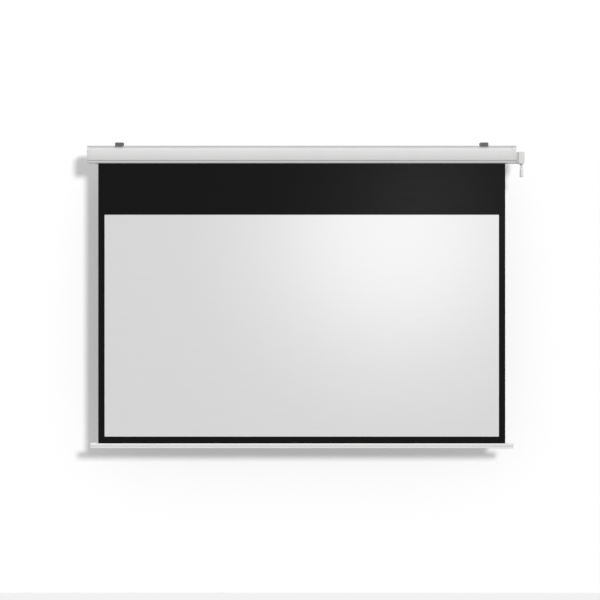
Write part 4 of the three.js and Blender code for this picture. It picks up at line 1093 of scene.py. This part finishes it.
class SCREEN_OT_stage(Operator):
    """Set the wall, the floor, the lamps and the camera"""

    bl_idname = "screen.stage"
    bl_label = "Stage"

    def execute(self, context):
        for step in (self.wall, self.floor, self.lamps, self.world, self.camera):
            step(stage_settings())
        context.scene.view_settings.view_transform = "Standard"
        return {"FINISHED"}

    def plane(self, name, size, material):
        piece = added(bpy.ops.mesh.primitive_plane_add, size=1.0)
        piece.name = name
        piece.data.transform(Matrix.Diagonal((*size, 1.0, 1.0)))
        piece.data.materials.append(material)
        return piece

    def seen_rays(self, w):
        """1 on rays from the camera, or from a mirror-like or clear surface."""
        path = w.add("ShaderNodeLightPath")
        seen = w.maths("ADD", path.outputs["Is Camera Ray"], path.outputs["Is Glossy Ray"])
        return w.maths("ADD", seen, path.outputs["Is Transmission Ray"], clamp=True)

    def paper(self, name, tone, own_light):
        """White board that shows its shadows and has a little light of its own."""
        made = bpy.data.materials.new(name)
        made.use_nodes = True
        made.node_tree.nodes.clear()
        w = Wiring(made.node_tree)
        board = w.add("ShaderNodeBsdfDiffuse", shade(tone, 1.0))
        lit = w.add("ShaderNodeEmission")
        w.put(lit.inputs["Strength"], w.maths("MULTIPLY", self.seen_rays(w), own_light))
        both = w.add("ShaderNodeAddShader", board.outputs[0], lit.outputs[0])
        return made, w, both.outputs[0]

    def show(self, w, shown, surface):
        """Puts the surface out where shown is 1, and nothing where it is 0."""
        clear = w.add("ShaderNodeBsdfTransparent").outputs[0]
        mix = w.add("ShaderNodeMixShader", shown, clear, surface)
        w.add("ShaderNodeOutputMaterial", mix.outputs[0])

    def wall(self, setting):
        made, w, front = self.paper("Wall", WALL_TONE, setting.wall_light)
        behind = w.add("ShaderNodeNewGeometry").outputs["Backfacing"]
        fore = w.maths("SUBTRACT", 1.0, behind)
        self.show(w, w.maths("MULTIPLY", fore, self.seen_rays(w)), front)
        wall = self.plane("wall", WALL_SIZE, made)
        height = setting.floor_z + WALL_SIZE[1] / 2
        upright = Matrix.Rotation(math.pi / 2, 4, "X")
        wall.data.transform(Matrix.Translation((0, setting.wall_gap, height)) @ upright)

    def floor(self, setting):
        made, w, surface = self.paper("Floor", FLOOR_TONE, setting.floor_light)
        behind = w.add("ShaderNodeNewGeometry").outputs["Backfacing"]
        below = w.maths("MULTIPLY", behind, self.seen_rays(w))
        self.show(w, w.maths("SUBTRACT", 1.0, below), surface)
        floor = self.plane("floor", FLOOR_SIZE, made)
        floor.data.transform(Matrix.Translation((0, 0, setting.floor_z)))

    def lamp(self, name, kind, place, target, **settings):
        data = bpy.data.lights.new(name, kind)
        for key, value in settings.items():
            setattr(data, key, value)
        lamp = bpy.data.objects.new(name, data)
        bpy.context.scene.collection.objects.link(lamp)
        lamp.location = place
        lamp.rotation_euler = (Vector(target) - Vector(place)).to_track_quat("-Z", "Y").to_euler()
        lamp.visible_camera = False
        return lamp

    def sun(self, name, middle, towards, level, degrees):
        """A sun that lights a white sheet, facing the front, to this level."""
        place = middle + SUN_AWAY * towards
        energy = level * math.pi * towards.length
        return self.lamp(name, "SUN", place, middle, energy=energy, angle=math.radians(degrees))

    def spot(self, name, place, target, level):
        """A soft spot that lights a white sheet at its target to this level."""
        away = (Vector(place) - Vector(target)).length_squared
        return self.lamp(
            name, "SPOT", place, target, energy=level * 4 * math.pi**2 * away,
            spot_size=math.radians(SPOT_CONE), spot_blend=1.0, shadow_soft_size=SPOT_RADIUS,
        )

    def link_light(self, lamp, state, *names):
        """Keeps a lamp's light to the pieces with these names, or off them."""
        group = bpy.data.collections.new(f"{lamp.name}_{state.lower()}")
        lamp.light_linking.receiver_collection = group
        for index, name in enumerate(names):
            group.objects.link(bpy.data.objects[name])
            group.collection_objects[index].light_linking.link_state = state

    def lamps(self, setting):
        middle = Vector((0, 0, setting.view_z))
        key = self.sun("key", middle, KEY_WAY, setting.key, KEY_WIDTH)
        self.link_light(key, "EXCLUDE", "wall")
        wall_sun = self.sun("wall_sun", middle, WALL_SUN_WAY, setting.wall_sun, WALL_SUN_WIDTH)
        self.link_light(wall_sun, "INCLUDE", "wall")
        glow = self.spot("glow", *GLOW_PLACES, setting.glow)
        self.link_light(glow, "INCLUDE", "screen_sheet", "black_border", "foot_border")
        sheen = self.spot("sheen", *SHEEN_PLACES, setting.sheen)
        self.link_light(sheen, "INCLUDE", "black_border")
        fill = self.lamp(
            "back_fill", "AREA", FILL_PLACE, middle, shape="SQUARE", size=FILL_SIDE,
            energy=FILL_LEVEL * math.pi**2 * (FILL_PLACE - middle).length_squared,
        )
        self.link_light(fill, "EXCLUDE", "wall", "floor")

    def world(self, setting):
        world = bpy.data.worlds.new("Studio")
        bpy.context.scene.world = world
        world.use_nodes = True
        w = Wiring(world.node_tree)
        strength = w.spread(self.seen_rays(w), 0.0, 1.0, setting.ambient, 1.0)
        w.fill(world.node_tree.nodes["Background"], Color=(1, 1, 1, 1), Strength=strength)

    def camera(self, setting):
        data = bpy.data.cameras.new("camera")
        camera = bpy.data.objects.new("camera", data)
        bpy.context.scene.collection.objects.link(camera)
        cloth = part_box("black_masking")[0].y
        camera.location = (setting.view_x, cloth - setting.camera_distance, setting.view_z)
        camera.rotation_euler = (math.pi / 2, 0, 0)
        data.sensor_width = SENSOR_WIDTH
        data.lens = SENSOR_WIDTH * setting.camera_distance / setting.view_width
        data.clip_end = VIEW_END
        bpy.context.scene.camera = camera


# Panel and registration


class SCREEN_PT_panel(Panel):
    """Steps of the projection screen, in order"""

    bl_idname = "SCREEN_PT_panel"
    bl_label = "Projection screen"
    bl_space_type = "VIEW_3D"
    bl_region_type = "UI"
    bl_category = "Projection screen"

    def draw(self, context):
        for step in STEPS:
            self.layout.operator(step.bl_idname)
        for group in (colours(), sizes(), stage_settings()):
            box = self.layout.box()
            for key in group.__annotations__:
                box.prop(group, key)


STEPS = (
    SCREEN_OT_finishes,
    SCREEN_OT_case,
    SCREEN_OT_gear_case,
    SCREEN_OT_cloth,
    SCREEN_OT_bar,
    SCREEN_OT_brackets,
    SCREEN_OT_screws,
    SCREEN_OT_stage,
)
GROUPS = {"screen_colours": ScreenColours, "screen_sizes": ScreenSizes, "screen_stage": ScreenStage}


def register():
    for item in (*GROUPS.values(), *STEPS, SCREEN_PT_panel):
        bpy.utils.register_class(item)
    for key, item in GROUPS.items():
        setattr(bpy.types.Scene, key, PointerProperty(type=item))


def unregister():
    for key in GROUPS:
        delattr(bpy.types.Scene, key)
    for item in (SCREEN_PT_panel, *reversed(STEPS), *reversed(GROUPS.values())):
        bpy.utils.unregister_class(item)


def main():
    register()
    for step in STEPS:
        area, name = step.bl_idname.split(".")
        getattr(getattr(bpy.ops, area), name)()
    deselect()


if __name__ == "__main__":
    main()
